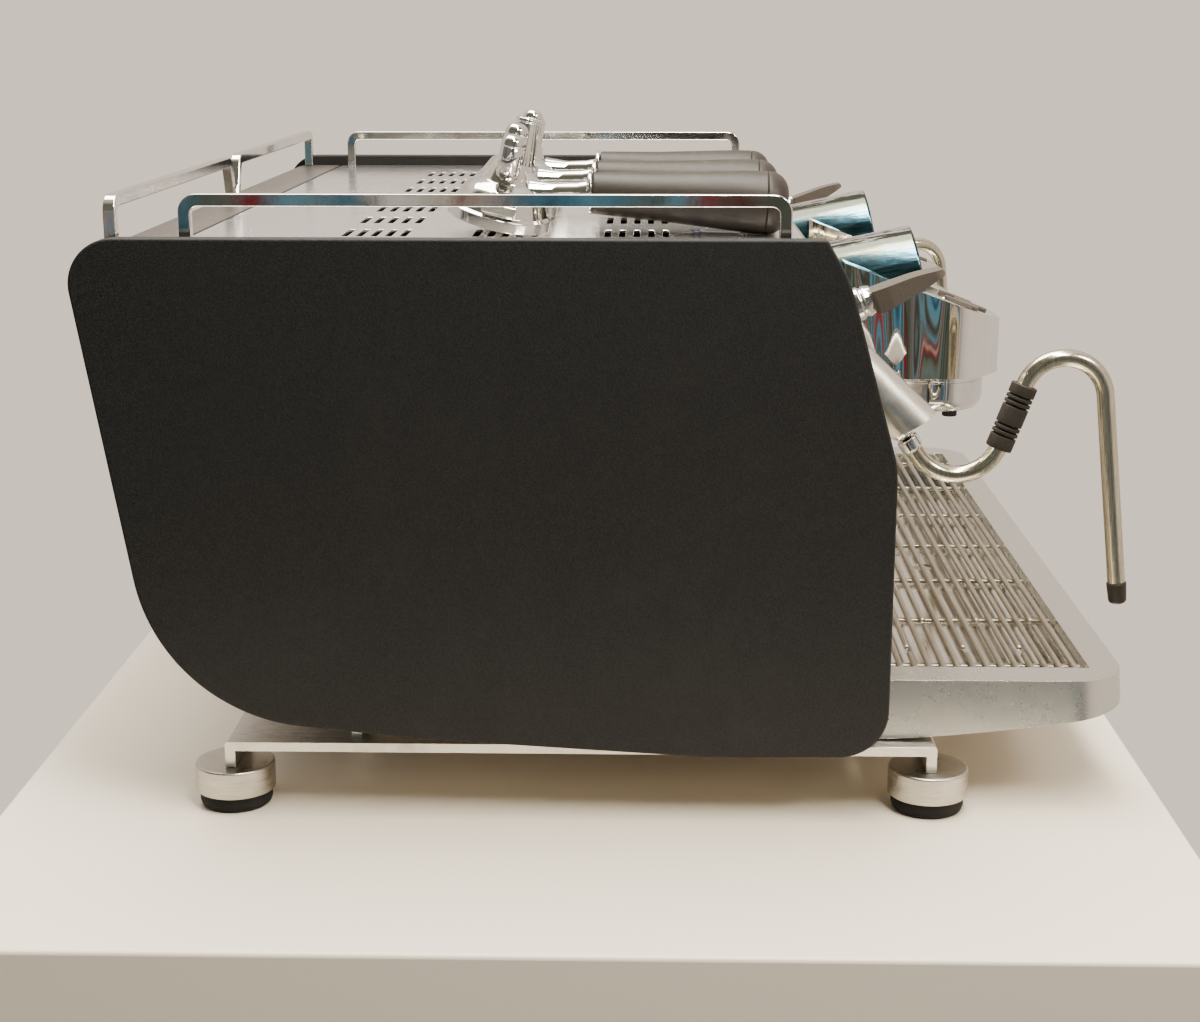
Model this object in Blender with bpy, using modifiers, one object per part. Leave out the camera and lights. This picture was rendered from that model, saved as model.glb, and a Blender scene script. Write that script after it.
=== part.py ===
"""Two-group espresso machine, low side-panel body, with three portafilters stored on its cup tray.

Metres, +Z up. The front, where the barista stands, faces -Y, and the origin is on the floor under the middle.
Left and right are the barista's, so the left side is at -X.
"""
import math

import bmesh
import bpy
from mathutils import Euler, Matrix, Vector

# ---------------------------------------------------------------- driving dimensions
MACHINE_WIDTH = 0.810
HALF_WIDTH = MACHINE_WIDTH / 2
GAP = 0.0004                    # left between pieces that touch

# side panels: (y, z, corner radius) round the outline, seen from the side
PANEL_THICKNESS = 0.013
PANEL_TOP = 0.3885
PANEL_EDGE_RADIUS = 0.0015
PANEL_OUTLINE = [
    (0.3540, PANEL_TOP, 0.030),     # top, rear
    (0.3035, 0.0745, 0.120),        # the long sweep under the rear
    (0.1315, 0.0568, 0.600),
    (-0.0585, 0.0455, 0.600),
    (-0.1785, 0.0465, 0.032),       # bottom, front
    (-0.1785, 0.2430, 0.080),       # knee of the front edge
    (-0.1450, 0.3625, 0.120),
    (-0.1295, PANEL_TOP, 0.003),    # top, front
]

# feet and skids
FOOT_X = HALF_WIDTH - 0.030
FOOT_Y = (-0.210, 0.263)        # front, rear
FOOT_RADIUS = 0.027
FOOT_TOP = 0.0300
PAD_RADIUS = 0.0245
PAD_HEIGHT = 0.0105
STUD_RADIUS = 0.0022
STUD_LENGTH = 0.010
STUD_CLEARANCE = 0.0003
SKID_WIDTH = 0.060
SKID_CLEARANCE = 0.0015         # from the side panel
SKID_THICKNESS = 0.0065
SKID_TOP = 0.0485
SKID_LEG = 0.0070
SKID_BEND = 0.002
POST_Y = (-0.120, 0.178)        # posts between skid and chassis
POST_SIZE = (0.020, 0.007)

# body sheets
SHEET = 0.0020
CHASSIS_BOTTOM = 0.0660
CHASSIS_FLANGE = 0.022
CHASSIS_Y = (-0.160, 0.175)
REAR_COVER_INSET = 0.006
REAR_COVER_END_Y = 0.190
LEDGE_FRONT_Y = 0.2965
FRONT_PANEL_INSET = 0.0095
BEHIND_PANEL_Y = -0.120         # pieces that stand on the front panel are drawn to here, then trimmed

# cup tray
TRAY_TOP = PANEL_TOP - 0.0100
TRAY_FRONT_Y = -0.1225
TRAY_LIP = 0.005
SLOT_SIZE = (0.045, 0.0045)
SLOT_PITCH = 0.010
SLOTS_IN_CLUSTER = 5
CLUSTER_PITCH = 0.090
CLUSTER_ROWS = 7
CLUSTER_COLUMNS_Y = (-0.010, 0.080, 0.170)

# rails round the cup tray
RAIL_BAR = 0.008
RAIL_TOP = TRAY_TOP + 0.0352
RAIL_CORNER = 0.012
SIDE_RAIL_X = HALF_WIDTH - 0.036
SIDE_RAIL_Y = (-0.1057, 0.2802)     # leg centres
REAR_RAIL_Y = 0.3255
REAR_RAIL_X = (0.007, HALF_WIDTH - 0.025)   # foot of the inner leg, outer leg
REAR_RAIL_LEAN = 0.014              # the inner leg leans outwards by this at the top

# drip tray
DRIP_TOP = 0.0905
DRIP_HALF_WIDTH = HALF_WIDTH - 0.0305
DRIP_FRONT_Y = -0.3440
DRIP_REAR_Y = -0.1720
DRIP_CORNER = 0.040
DRIP_SKIRT_REAR = SKID_TOP + 0.001      # underside of the skirt at the panels
DRIP_SKIRT_FRONT = 0.0680       # and at the front
DRIP_OPENING_X = DRIP_HALF_WIDTH - 0.0295
DRIP_OPENING_Y = (-0.3220, -0.1860)
PAN_DEPTH = 0.018
PAN_WALL = 0.0015
ROD_SIZE = 0.0042
ROD_PITCH = 0.010
CROSS_BAR = (0.005, 0.003)
CROSS_BARS = 7
GRILLE_SINK = 0.0010            # the rods lie this far under the rim

# groups
GROUP_X = 0.160
DRUM_RADIUS = 0.036
DRUM_TILT = math.radians(12)
DRUM_FACE = (-0.2197, 0.3385)   # y, z of the middle of the front face
DRUM_LENGTH = 0.118
LENS_RADIUS = 0.0315
LENS_THICKNESS = 0.003
LENS_RECESS = 0.0045
COVER_HALF_WIDTH = 0.052
COVER_CORNER = 0.032
COVER_FRONT_Y = -0.2795
COVER_BOTTOM = 0.2665
COVER_TOP_FRONT = 0.3070
COVER_SLOPE = math.radians(20.5)
HEAD_Y = -0.2335
HEAD_RADIUS = 0.0375
HEAD_BOTTOM = 0.2385
HEAD_TOP = 0.2880
HEAD_FILLET = 0.009
HEAD_FILLET_END = 0.8           # share of the fillet's width where its arc gives way to the flat
SOCKET_RADIUS = 0.0305
SOCKET_DEPTH = 0.020
BUTTON_SIZE = (0.006, 0.026, 0.0045)
BUTTON_PROUD = 0.0016
BUTTON_TRAVEL = 0.0012
BUTTON_CLEARANCE = 0.0004
BUTTON_SPACING = 0.016
BUTTON_STAGGER = 0.009
BUTTON_MIDDLE_Y = -0.2505

# steam valves, levers and wands
VALVE_X = HALF_WIDTH - 0.075
VALVE_RADIUS = 0.020
VALVE_TILT = math.radians(44)
VALVE_END_SLOPE = math.radians(29)
VALVE_LENGTH = 0.075
VALVE_OFFSET = 0.0065               # of the housing's axis from the ball, forwards along its end face
BALL_RADIUS = 0.0085
BALL_CENTRE = (-0.1885, 0.2540)     # y, z: both wand joints turn about it
WAND_RADIUS = 0.0060
WAND_START = 0.0090                 # from the middle of the ball to the pipe
WAND_HEADING = math.radians(-55.5)  # of the first stretch, from straight ahead
WAND_STRAIGHTS = (0.013, 0.044, 0.131)
WAND_RADII = (0.031, 0.028)
WAND_TURNS = (math.radians(125.5), math.radians(-153.3))
WAND_BEND_STEP = math.radians(14)
WAND_TURN = {"left": 0.0, "right": math.radians(20)}    # where each wand was left, outwards
GRIP_RADIUS = 0.0090
GRIP_LENGTH = 0.046
GRIP_CLEARANCE = 0.0004
TIP_RADIUS = 0.0068
TIP_LENGTH = 0.0150
SPOUT_PIPE_RADIUS = 0.005       # of the hot-water spout, between the groups
SPOUT_PIPE_Y = -0.273
SPOUT_PIPE_Z = (0.203, 0.305)
SPOUT_PIPE_BEND = 0.024
SPOUT_FLANGE = (0.011, 0.020)       # radius, length in front of the panel's face
LEVER_X = HALF_WIDTH - 0.055
LEVER_PIVOT = (-0.1515, 0.3395)     # y, z
LEVER_ANGLE = math.radians(21)
LEVER_LENGTH = 0.064
LEVER_HUB_RADIUS = 0.0105
LEVER_HUB_WIDTH = 0.026
LEVER_ROOT = (0.027, 0.017)         # width, height
LEVER_TIP = (0.021, 0.006)

# portafilters, lying upside down: distance in from the left side, roll, and kind of spout
PORTAFILTERS = (
    (0.130, math.radians(-8), "double"),
    (0.245, 0.0, "single"),
    (0.351, math.radians(9), "double"),
)
PORTAFILTER_NECK_Y = 0.0205     # where the handle starts
HANDLE_LENGTH = 0.134
HANDLE_RADII = (0.0142, 0.0215)
HANDLE_CAP = 0.020
HANDLE_TILT = math.radians(3.1)     # it lies on its butt, so its neck is higher
BASKET_RADIUS = 0.0355
BASKET_TOP_RADIUS = 0.0260
BASKET_HEIGHT = 0.029
BASKET_WALL = 0.004
BASKET_TILT = math.radians(12.8)
BASKET_Y = 0.0855
NECK_RADIUS = 0.0065
SPOUT_HEIGHT = 0.034
SPOUT_SPREAD = 0.020
SPOUT_RISE = 0.015
SPOUT_RADIUS = 0.0065
HUB_RADII = (0.0120, 0.0085)        # at the basket and at its end
HUB_HEIGHT = {"double": 0.012, "single": 0.036}

# inside
BOILER_RADIUS = 0.080
BOILER_LENGTH = 0.480
BOILER_PLACE = (0.0, 0.195, 0.215)
SADDLE = (0.030, 0.090)
SADDLE_DROP = 0.020             # top of a saddle below the boiler's axis
SADDLE_SPREAD = 0.3             # share of the boiler's length
BOILER_DISH = 0.020             # depth of a domed end
BREW_LEG = (0.020, 0.030)
MOTOR_FOOT = (0.090, 0.060)
PUMP_SPIGOT = 0.004             # of the pump, inside the motor's end
BREW_BOILER_RADIUS = 0.038
BREW_BOILER_LENGTH = 0.095
BREW_BOILER_PLACE = (-0.095, 0.222)
MOTOR_RADIUS = 0.045
MOTOR_LENGTH = 0.150
MOTOR_PLACE = (-0.200, 0.030, 0.128)
PUMP_RADIUS = 0.028
PUMP_LENGTH = 0.060

ROUND_STEPS = 24
SIDES = {"left": -1, "right": 1}
SIDEWAYS = Euler((math.pi / 2, 0, math.pi / 2))     # a curve's x, y, z become the machine's y, z, x


# ---------------------------------------------------------------- making shapes
def clear_scene():
    for old in list(bpy.data.objects):
        bpy.data.objects.remove(old, do_unlink=True)


def new_collection(name):
    made = bpy.data.collections.new(name)
    bpy.context.scene.collection.children.link(made)
    return made


def new_material(name, colour, roughness, metallic=0.0):
    material = bpy.data.materials.new(name)
    material.use_nodes = True
    shader = material.node_tree.nodes["Principled BSDF"]
    shader.inputs["Base Color"].default_value = (*colour, 1.0)
    shader.inputs["Roughness"].default_value = roughness
    shader.inputs["Metallic"].default_value = metallic
    return material


clear_scene()
MACHINE = new_collection("espresso_machine")
CUTTERS = new_collection("cutters")
MATTE_BLACK = new_material("matte_black", (0.022, 0.022, 0.023), 0.62)
CHROME = new_material("chrome", (0.82, 0.82, 0.80), 0.06, 1.0)
STEEL = new_material("polished_steel", (0.72, 0.71, 0.69), 0.18, 1.0)
BRUSHED = new_material("brushed_steel", (0.60, 0.59, 0.56), 0.35, 1.0)
RUBBER = new_material("black_rubber", (0.030, 0.028, 0.026), 0.80)
PLASTIC = new_material("black_plastic", (0.045, 0.041, 0.037), 0.45)
DARK_GLASS = new_material("display_glass", (0.010, 0.010, 0.012), 0.08)
COPPER = new_material("boiler_copper", (0.72, 0.40, 0.26), 0.30, 1.0)
CAST_ALUMINIUM = new_material("cast_aluminium", (0.55, 0.55, 0.56), 0.45, 1.0)


def smooth(mesh):
    mesh.shade_smooth()
    mesh.set_sharp_from_angle(angle=math.radians(30))


def add_object(name, data, material=None, place=(0, 0, 0), turn=None):
    """The object goes with the machine if it has a material, and with the cutters if it has none."""
    made = bpy.data.objects.new(name, data)
    made.location = place
    if turn is not None:
        made.rotation_euler = turn
    if material is None:
        CUTTERS.objects.link(made)
        made.hide_render = True
        made.display_type = "WIRE"
    else:
        MACHINE.objects.link(made)
        data.materials.append(material)
    return made


def mesh_from(name, bm):
    mesh = bpy.data.meshes.new(name)
    bm.to_mesh(mesh)
    bm.free()
    smooth(mesh)
    return mesh


def add_bevel(obj, width, segments=2):
    bevel = obj.modifiers.new("rounded_edges", "BEVEL")
    bevel.width = width
    bevel.segments = segments
    bevel.limit_method = "ANGLE"
    bevel.angle_limit = math.radians(50)


def box(name, size, place, material=None, turn=None, bevel=0.0):
    bm = bmesh.new()
    bmesh.ops.create_cube(bm, size=1.0)
    bmesh.ops.scale(bm, vec=size, verts=bm.verts)
    made = add_object(name, mesh_from(name, bm), material, place, turn)
    if bevel:
        add_bevel(made, bevel)
    return made


def cylinder(name, radius, length, place, material=None, turn=None, steps=ROUND_STEPS, bevel=0.0):
    bm = bmesh.new()
    bmesh.ops.create_cone(
        bm, cap_ends=True, segments=steps, radius1=radius, radius2=radius, depth=length
    )
    made = add_object(name, mesh_from(name, bm), material, place, turn)
    if bevel:
        add_bevel(made, bevel)
    return made


def turned(name, profile, place=(0, 0, 0), material=None, turn=None, steps=ROUND_STEPS, closed=False):
    """Turns (radius, height) points round the local Z axis; they run down the outer side."""
    bm = bmesh.new()
    points = [bm.verts.new((radius, 0, height)) for radius, height in profile]
    for first, second in zip(points, points[1:]):
        bm.edges.new((first, second))
    if closed:
        bm.edges.new((points[-1], points[0]))
    mesh = bpy.data.meshes.new(name)
    bm.to_mesh(mesh)
    bm.free()
    made = add_object(name, mesh, material, place, turn)
    screw = made.modifiers.new("turned", "SCREW")
    screw.steps = steps
    screw.render_steps = steps
    screw.use_merge_vertices = True
    screw.merge_threshold = 0.00005
    return made


def rounded(corners, closed=True, step=math.radians(7)):
    """The (a, b, radius) corners as points, with an arc in each corner that has a radius."""
    points = []
    count = len(corners)
    for i, (a, b, radius) in enumerate(corners):
        here = Vector((a, b))
        end = not closed and i in (0, count - 1)
        if end or radius == 0:
            points.append((a, b))
            continue
        back = (Vector(corners[i - 1][:2]) - here).normalized()
        ahead = (Vector(corners[(i + 1) % count][:2]) - here).normalized()
        half = back.angle(ahead) / 2
        centre = here + (back + ahead).normalized() * radius / math.sin(half)
        start = here + back * radius / math.tan(half) - centre
        finish = here + ahead * radius / math.tan(half) - centre
        sweep = start.angle_signed(finish)
        pieces = max(1, math.ceil(abs(sweep) / step))
        for k in range(pieces + 1):
            arm = start.copy()
            arm.rotate(Matrix.Rotation(-sweep * k / pieces, 2))
            points.append(tuple(centre + arm))
    return points


def plate(name, loops, thickness, place, material=None, turn=None, edge=0.0):
    """A flat outline, with holes as further loops, filled and made this thick about its middle."""
    curve = bpy.data.curves.new(name, "CURVE")
    curve.dimensions = "2D"
    curve.fill_mode = "BOTH"
    curve.extrude = thickness / 2 - edge
    curve.bevel_depth = edge
    curve.bevel_resolution = 1
    curve.offset = -edge
    for loop in loops:
        spline = curve.splines.new("POLY")
        spline.points.add(len(loop) - 1)
        for point, (a, b) in zip(spline.points, loop):
            point.co = (a, b, 0, 1)
        spline.use_cyclic_u = True
    return add_object(name, curve, material, place, turn)


def as_mesh(obj):
    """Replaces a curve by its mesh, so that it can be cut or joined."""
    bpy.context.view_layer.update()
    graph = bpy.context.evaluated_depsgraph_get()
    mesh = bpy.data.meshes.new_from_object(obj.evaluated_get(graph))
    bm = bmesh.new()
    bm.from_mesh(mesh)
    bmesh.ops.remove_doubles(bm, verts=bm.verts, dist=0.000001)
    bmesh.ops.recalc_face_normals(bm, faces=bm.faces)
    bm.to_mesh(mesh)
    bm.free()
    smooth(mesh)
    name = obj.name
    matrix = obj.matrix_world.copy()
    is_cutter = obj.hide_render
    material = obj.data.materials[0] if obj.data.materials else None
    bpy.data.objects.remove(obj)
    mesh.materials.clear()
    made = add_object(name, mesh, None if is_cutter else material)
    made.matrix_world = matrix
    return made


def tube(name, points, radius, material=None, sides_setting=3):
    curve = bpy.data.curves.new(name, "CURVE")
    curve.dimensions = "3D"
    curve.bevel_depth = radius
    curve.bevel_resolution = sides_setting
    curve.use_fill_caps = True
    spline = curve.splines.new("POLY")
    spline.points.add(len(points) - 1)
    for point, place in zip(spline.points, points):
        point.co = (*place, 1)
    return add_object(name, curve, material)


def sheet(name, profile, width, material):
    """A bent sheet: its outer (y, z) profile drawn across the machine, its thickness on the inside."""
    bm = bmesh.new()
    rows = [
        [bm.verts.new((x, y, z)) for y, z in profile]
        for x in (-width / 2, width / 2)
    ]
    for i in range(len(profile) - 1):
        bm.faces.new((rows[0][i], rows[0][i + 1], rows[1][i + 1], rows[1][i]))
    made = add_object(name, mesh_from(name, bm), material)
    wall = made.modifiers.new("sheet_thickness", "SOLIDIFY")
    wall.thickness = SHEET
    wall.offset = -1
    wall.use_even_offset = True
    return made


def combine(obj, others, operation):
    for other in others:
        boolean = obj.modifiers.new(f"{operation.lower()}_{other.name}", "BOOLEAN")
        boolean.operation = operation
        boolean.solver = "EXACT"
        boolean.object = other


def cut(obj, *cutters):
    combine(obj, cutters, "DIFFERENCE")


def join(obj, *others):
    combine(obj, others, "UNION")


def rectangle(x0, x1, y0, y1):
    return [(x0, y0), (x1, y0), (x1, y1), (x0, y1)]


def inset_line(corners, distance):
    """The corners of an open line moved sideways, to the right of its way, by a distance."""
    flat = [Vector(corner[:2]) for corner in corners]
    moved = []
    for i, here in enumerate(flat):
        way_in = (here - flat[i - 1]).normalized() if i else None
        way_out = (flat[i + 1] - here).normalized() if i + 1 < len(flat) else None
        ways = [way for way in (way_in, way_out) if way is not None]
        sides = [Vector((way.y, -way.x)) for way in ways]
        normal = sum(sides, Vector((0, 0))).normalized()
        moved.append(tuple(here + normal * distance / normal.dot(sides[0])))
    return moved


# ---------------------------------------------------------------- body
def side_panels():
    outline = rounded(PANEL_OUTLINE)
    for side, sign in SIDES.items():
        middle = sign * (HALF_WIDTH - PANEL_THICKNESS / 2)
        plate(
            f"side_panel_{side}", [outline], PANEL_THICKNESS,
            (middle, 0, 0), MATTE_BLACK, SIDEWAYS, PANEL_EDGE_RADIUS,
        )


BODY_WIDTH = MACHINE_WIDTH - 2 * PANEL_THICKNESS - 2 * GAP
TRAY_BOTTOM = TRAY_TOP - SHEET


def front_line(distance):
    """The front panel's (y, z) line from the top down, this far behind the side panels' front edge."""
    edge = [PANEL_OUTLINE[i] for i in (7, 6, 5, 4)]
    places = inset_line(edge, -distance)
    radii = [corner[2] for corner in edge]
    corners = [(y, z, radius) for (y, z), radius in zip(places, radii)]
    top_y = places[0][0] - (places[0][1] - TRAY_BOTTOM + GAP) * (
        (places[0][0] - places[1][0]) / (places[0][1] - places[1][1])
    )
    corners[0] = (top_y, TRAY_BOTTOM - GAP, 0)
    corners[-1] = (places[-1][0], CHASSIS_BOTTOM + SHEET + GAP, 0)
    return rounded(corners, closed=False)


def body_front_cutter(name, clearance):
    """All the room behind the front panel's outer face, to trim what stands on that face."""
    line = front_line(FRONT_PANEL_INSET - clearance)
    loop = line + [(0.1, line[-1][1] - 0.1), (0.1, line[0][1] + 0.1), (line[0][0], line[0][1] + 0.1)]
    return as_mesh(plate(name, [loop], BODY_WIDTH, (0, 0, 0), None, SIDEWAYS))


def panel_face_y(z):
    """Where the upper slope of the front panel's outer face stands at a height."""
    low_y, low_z = PANEL_OUTLINE[5][:2]
    high_y, high_z = PANEL_OUTLINE[6][:2]
    return low_y + (high_y - low_y) * (z - low_z) / (high_z - low_z) + FRONT_PANEL_INSET


def front_panel():
    panel = sheet("front_panel", front_line(FRONT_PANEL_INSET), BODY_WIDTH, BRUSHED)
    for side, sign in SIDES.items():
        cut(panel, drum_shape(f"cut_panel_drum_{side}", sign, BUTTON_CLEARANCE, SHEET))
        cut(panel, valve_bar(f"cut_panel_valve_{side}", sign, BUTTON_CLEARANCE))
        hub_room = LEVER_HUB_WIDTH + 4 * BUTTON_CLEARANCE
        cut(panel, box(
            f"cut_panel_lever_{side}", (hub_room, 0.06, 2 * LEVER_HUB_RADIUS + 0.014),
            (sign * LEVER_X, *LEVER_PIVOT),
        ))


def rear_cover():
    corners = [PANEL_OUTLINE[i] for i in (2, 1, 0)]
    places = inset_line(corners, -REAR_COVER_INSET)
    slope = (places[1][1] - places[0][1]) / (places[1][0] - places[0][0])
    bottom = places[1][1] - slope * (places[1][0] - REAR_COVER_END_Y)
    rise = (places[2][0] - places[1][0]) / (places[2][1] - places[1][1])
    top_y = places[2][0] - rise * (places[2][1] - TRAY_TOP)
    profile = rounded([
        (REAR_COVER_END_Y, bottom, 0),
        (*places[1], PANEL_OUTLINE[1][2] - REAR_COVER_INSET),
        (top_y, TRAY_TOP, 0.012),
        (LEDGE_FRONT_Y, TRAY_TOP, 0.001),
        (LEDGE_FRONT_Y, TRAY_TOP - 0.012, 0),
    ], closed=False)
    sheet("rear_cover", profile, BODY_WIDTH, MATTE_BLACK)


def chassis():
    length = CHASSIS_Y[1] - CHASSIS_Y[0]
    bm = bmesh.new()
    bmesh.ops.create_cube(bm, size=1.0)
    top = [face for face in bm.faces if face.normal.z > 0.5]
    bmesh.ops.delete(bm, geom=top, context="FACES_ONLY")
    bmesh.ops.scale(bm, vec=(BODY_WIDTH, length, CHASSIS_FLANGE), verts=bm.verts)
    middle = (0, sum(CHASSIS_Y) / 2, CHASSIS_BOTTOM + CHASSIS_FLANGE / 2)
    pan = add_object("chassis_pan", mesh_from("chassis_pan", bm), BRUSHED, middle)
    wall = pan.modifiers.new("sheet_thickness", "SOLIDIFY")
    wall.thickness = SHEET
    wall.offset = -1
    wall.use_even_offset = True


def cup_tray():
    """The polished sheet on top, with its clusters of slots and a lip folded down at the front."""
    rear_y = LEDGE_FRONT_Y - SHEET - 2 * GAP
    length = rear_y - TRAY_FRONT_Y
    tray = box(
        "cup_tray", (BODY_WIDTH, length, SHEET),
        (0, (rear_y + TRAY_FRONT_Y) / 2, TRAY_TOP - SHEET / 2), STEEL,
    )
    bm = bmesh.new()
    for row in range(CLUSTER_ROWS):
        x = (row - (CLUSTER_ROWS - 1) / 2) * CLUSTER_PITCH
        for column_y in CLUSTER_COLUMNS_Y:
            for slot in range(SLOTS_IN_CLUSTER):
                y = column_y + (slot - (SLOTS_IN_CLUSTER - 1) / 2) * SLOT_PITCH
                place = Matrix.Translation((x, y, TRAY_TOP - SHEET / 2))
                size = Matrix.Diagonal((*SLOT_SIZE, 3 * SHEET, 1))
                bmesh.ops.create_cube(bm, size=1.0, matrix=place @ size)
    cut(tray, add_object("cut_tray_slots", mesh_from("cut_tray_slots", bm)))


def rail_outline(foot_inner, foot_outer, lean):
    """An inverted U of square bar: its outer line, then back along its inner line."""
    half = RAIL_BAR / 2
    top = RAIL_TOP
    foot = TRAY_TOP + GAP
    under = top - RAIL_BAR
    inner_radius = RAIL_CORNER - RAIL_BAR + 0.001
    return rounded([
        (foot_inner - half, foot, 0),
        (foot_inner - half + lean, top, RAIL_CORNER),
        (foot_outer + half, top, RAIL_CORNER),
        (foot_outer + half, foot, 0),
        (foot_outer - half, foot, 0),
        (foot_outer - half, under, inner_radius),
        (foot_inner + half + lean * (under - foot) / (top - foot), under, inner_radius),
        (foot_inner + half, foot, 0),
    ], step=math.radians(18))


def rails():
    across = Euler((math.pi / 2, 0, 0))     # a curve's x, y become the machine's x, z
    for side, sign in SIDES.items():
        outline = rail_outline(*SIDE_RAIL_Y, 0.0)
        plate(
            f"side_rail_{side}", [outline], RAIL_BAR,
            (sign * SIDE_RAIL_X, 0, 0), CHROME, SIDEWAYS,
        )
        outline = [(sign * x, z) for x, z in rail_outline(*REAR_RAIL_X, REAR_RAIL_LEAN)]
        plate(
            f"rear_rail_{side}", [outline], RAIL_BAR,
            (0, REAR_RAIL_Y, 0), CHROME, across,
        )


# ---------------------------------------------------------------- skids and feet
SKID_OUTER_X = HALF_WIDTH - PANEL_THICKNESS - SKID_CLEARANCE


def skids():
    front, rear = FOOT_Y[0] - SKID_LEG / 2, FOOT_Y[1] + SKID_LEG / 2
    foot = FOOT_TOP + GAP
    under = SKID_TOP - SKID_THICKNESS
    outline = rounded([
        (front, foot, 0), (front, SKID_TOP, SKID_BEND), (rear, SKID_TOP, SKID_BEND), (rear, foot, 0),
        (rear - SKID_LEG, foot, 0), (rear - SKID_LEG, under, 0),
        (front + SKID_LEG, under, 0), (front + SKID_LEG, foot, 0),
    ], step=math.radians(30))
    post_top = CHASSIS_BOTTOM - GAP
    post_bottom = SKID_TOP - SKID_THICKNESS / 2
    for side, sign in SIDES.items():
        middle = sign * (SKID_OUTER_X - SKID_WIDTH / 2)
        skid = as_mesh(plate(
            f"base_skid_{side}", [outline], SKID_WIDTH, (middle, 0, 0), BRUSHED, SIDEWAYS,
        ))
        for number, y in enumerate(POST_Y):
            join(skid, box(
                f"post_{side}_{number}", (*POST_SIZE, post_top - post_bottom),
                (sign * (SKID_OUTER_X - SKID_WIDTH / 3), y, (post_top + post_bottom) / 2),
            ))
        for number, y in enumerate(FOOT_Y):
            cut(skid, cylinder(
                f"cut_stud_{side}_{number}", STUD_RADIUS + STUD_CLEARANCE, 2 * (STUD_LENGTH + 0.001),
                (sign * FOOT_X, y, FOOT_TOP), steps=12,
            ))


def feet():
    cup = [
        (0, FOOT_TOP + STUD_LENGTH), (STUD_RADIUS, FOOT_TOP + STUD_LENGTH),
        (STUD_RADIUS, FOOT_TOP), (FOOT_RADIUS - 0.001, FOOT_TOP),
        (FOOT_RADIUS, FOOT_TOP - 0.001), (FOOT_RADIUS, PAD_HEIGHT), (0, PAD_HEIGHT),
    ]
    pad_top = PAD_HEIGHT - GAP
    pad = [(0, pad_top), (PAD_RADIUS, pad_top), (PAD_RADIUS, 0.0015), (PAD_RADIUS - 0.0015, 0), (0, 0)]
    for side, sign in SIDES.items():
        for end, y in zip(("front", "rear"), FOOT_Y):
            turned(f"foot_cup_{end}_{side}", cup, (sign * FOOT_X, y, 0), BRUSHED)
            turned(f"foot_pad_{end}_{side}", pad, (sign * FOOT_X, y, 0), RUBBER)


# ---------------------------------------------------------------- drip tray
def drip_rim():
    """The chromed surround: its plan, trimmed by its side view, whose underside rises to the front."""
    plan = rounded([
        (-DRIP_HALF_WIDTH, DRIP_REAR_Y, 0), (-DRIP_HALF_WIDTH, DRIP_FRONT_Y, DRIP_CORNER),
        (DRIP_HALF_WIDTH, DRIP_FRONT_Y, DRIP_CORNER), (DRIP_HALF_WIDTH, DRIP_REAR_Y, 0),
    ], step=math.radians(9))
    opening = rectangle(-DRIP_OPENING_X, DRIP_OPENING_X, *DRIP_OPENING_Y)
    height = 0.1
    rim = as_mesh(plate("drip_rim", [plan, opening], height, (0, 0, DRIP_TOP - height / 2), CHROME))
    depth = DRIP_REAR_Y - DRIP_FRONT_Y
    rise = DRIP_SKIRT_FRONT - DRIP_SKIRT_REAR
    pieces = 6
    under = [
        (DRIP_REAR_Y - depth * k / pieces, DRIP_SKIRT_REAR + rise * (k / pieces) ** 1.5)
        for k in range(pieces + 1)
    ]
    far = 0.05
    below = [(DRIP_REAR_Y + far, under[0][1])] + under
    below += [(DRIP_FRONT_Y - far, under[-1][1]), (DRIP_FRONT_Y - far, -far), (DRIP_REAR_Y + far, -far)]
    cut(rim, as_mesh(plate("cut_rim_underside", [below], 1.0, (0, 0, 0), None, SIDEWAYS)))
    add_bevel(rim, 0.0012, 1)


def drip_pan():
    """The tub under the grille, open upwards, with its drain hole."""
    wide = 2 * (DRIP_OPENING_X - GAP)
    deep = DRIP_OPENING_Y[1] - DRIP_OPENING_Y[0] - 2 * GAP
    top = DRIP_TOP - GRILLE_SINK - ROD_SIZE - CROSS_BAR[1] - GAP
    bm = bmesh.new()
    bmesh.ops.create_cube(bm, size=1.0)
    lid = [face for face in bm.faces if face.normal.z > 0.5]
    bmesh.ops.delete(bm, geom=lid, context="FACES_ONLY")
    bmesh.ops.scale(bm, vec=(wide, deep, PAN_DEPTH), verts=bm.verts)
    middle_y = sum(DRIP_OPENING_Y) / 2
    pan = add_object("drip_pan", mesh_from("drip_pan", bm), STEEL, (0, middle_y, top - PAN_DEPTH / 2))
    wall = pan.modifiers.new("sheet_thickness", "SOLIDIFY")
    wall.thickness = PAN_WALL
    wall.offset = -1
    wall.use_even_offset = True
    cut(pan, cylinder("cut_drain", 0.010, 0.01, (0, middle_y, top - PAN_DEPTH), steps=16))


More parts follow.
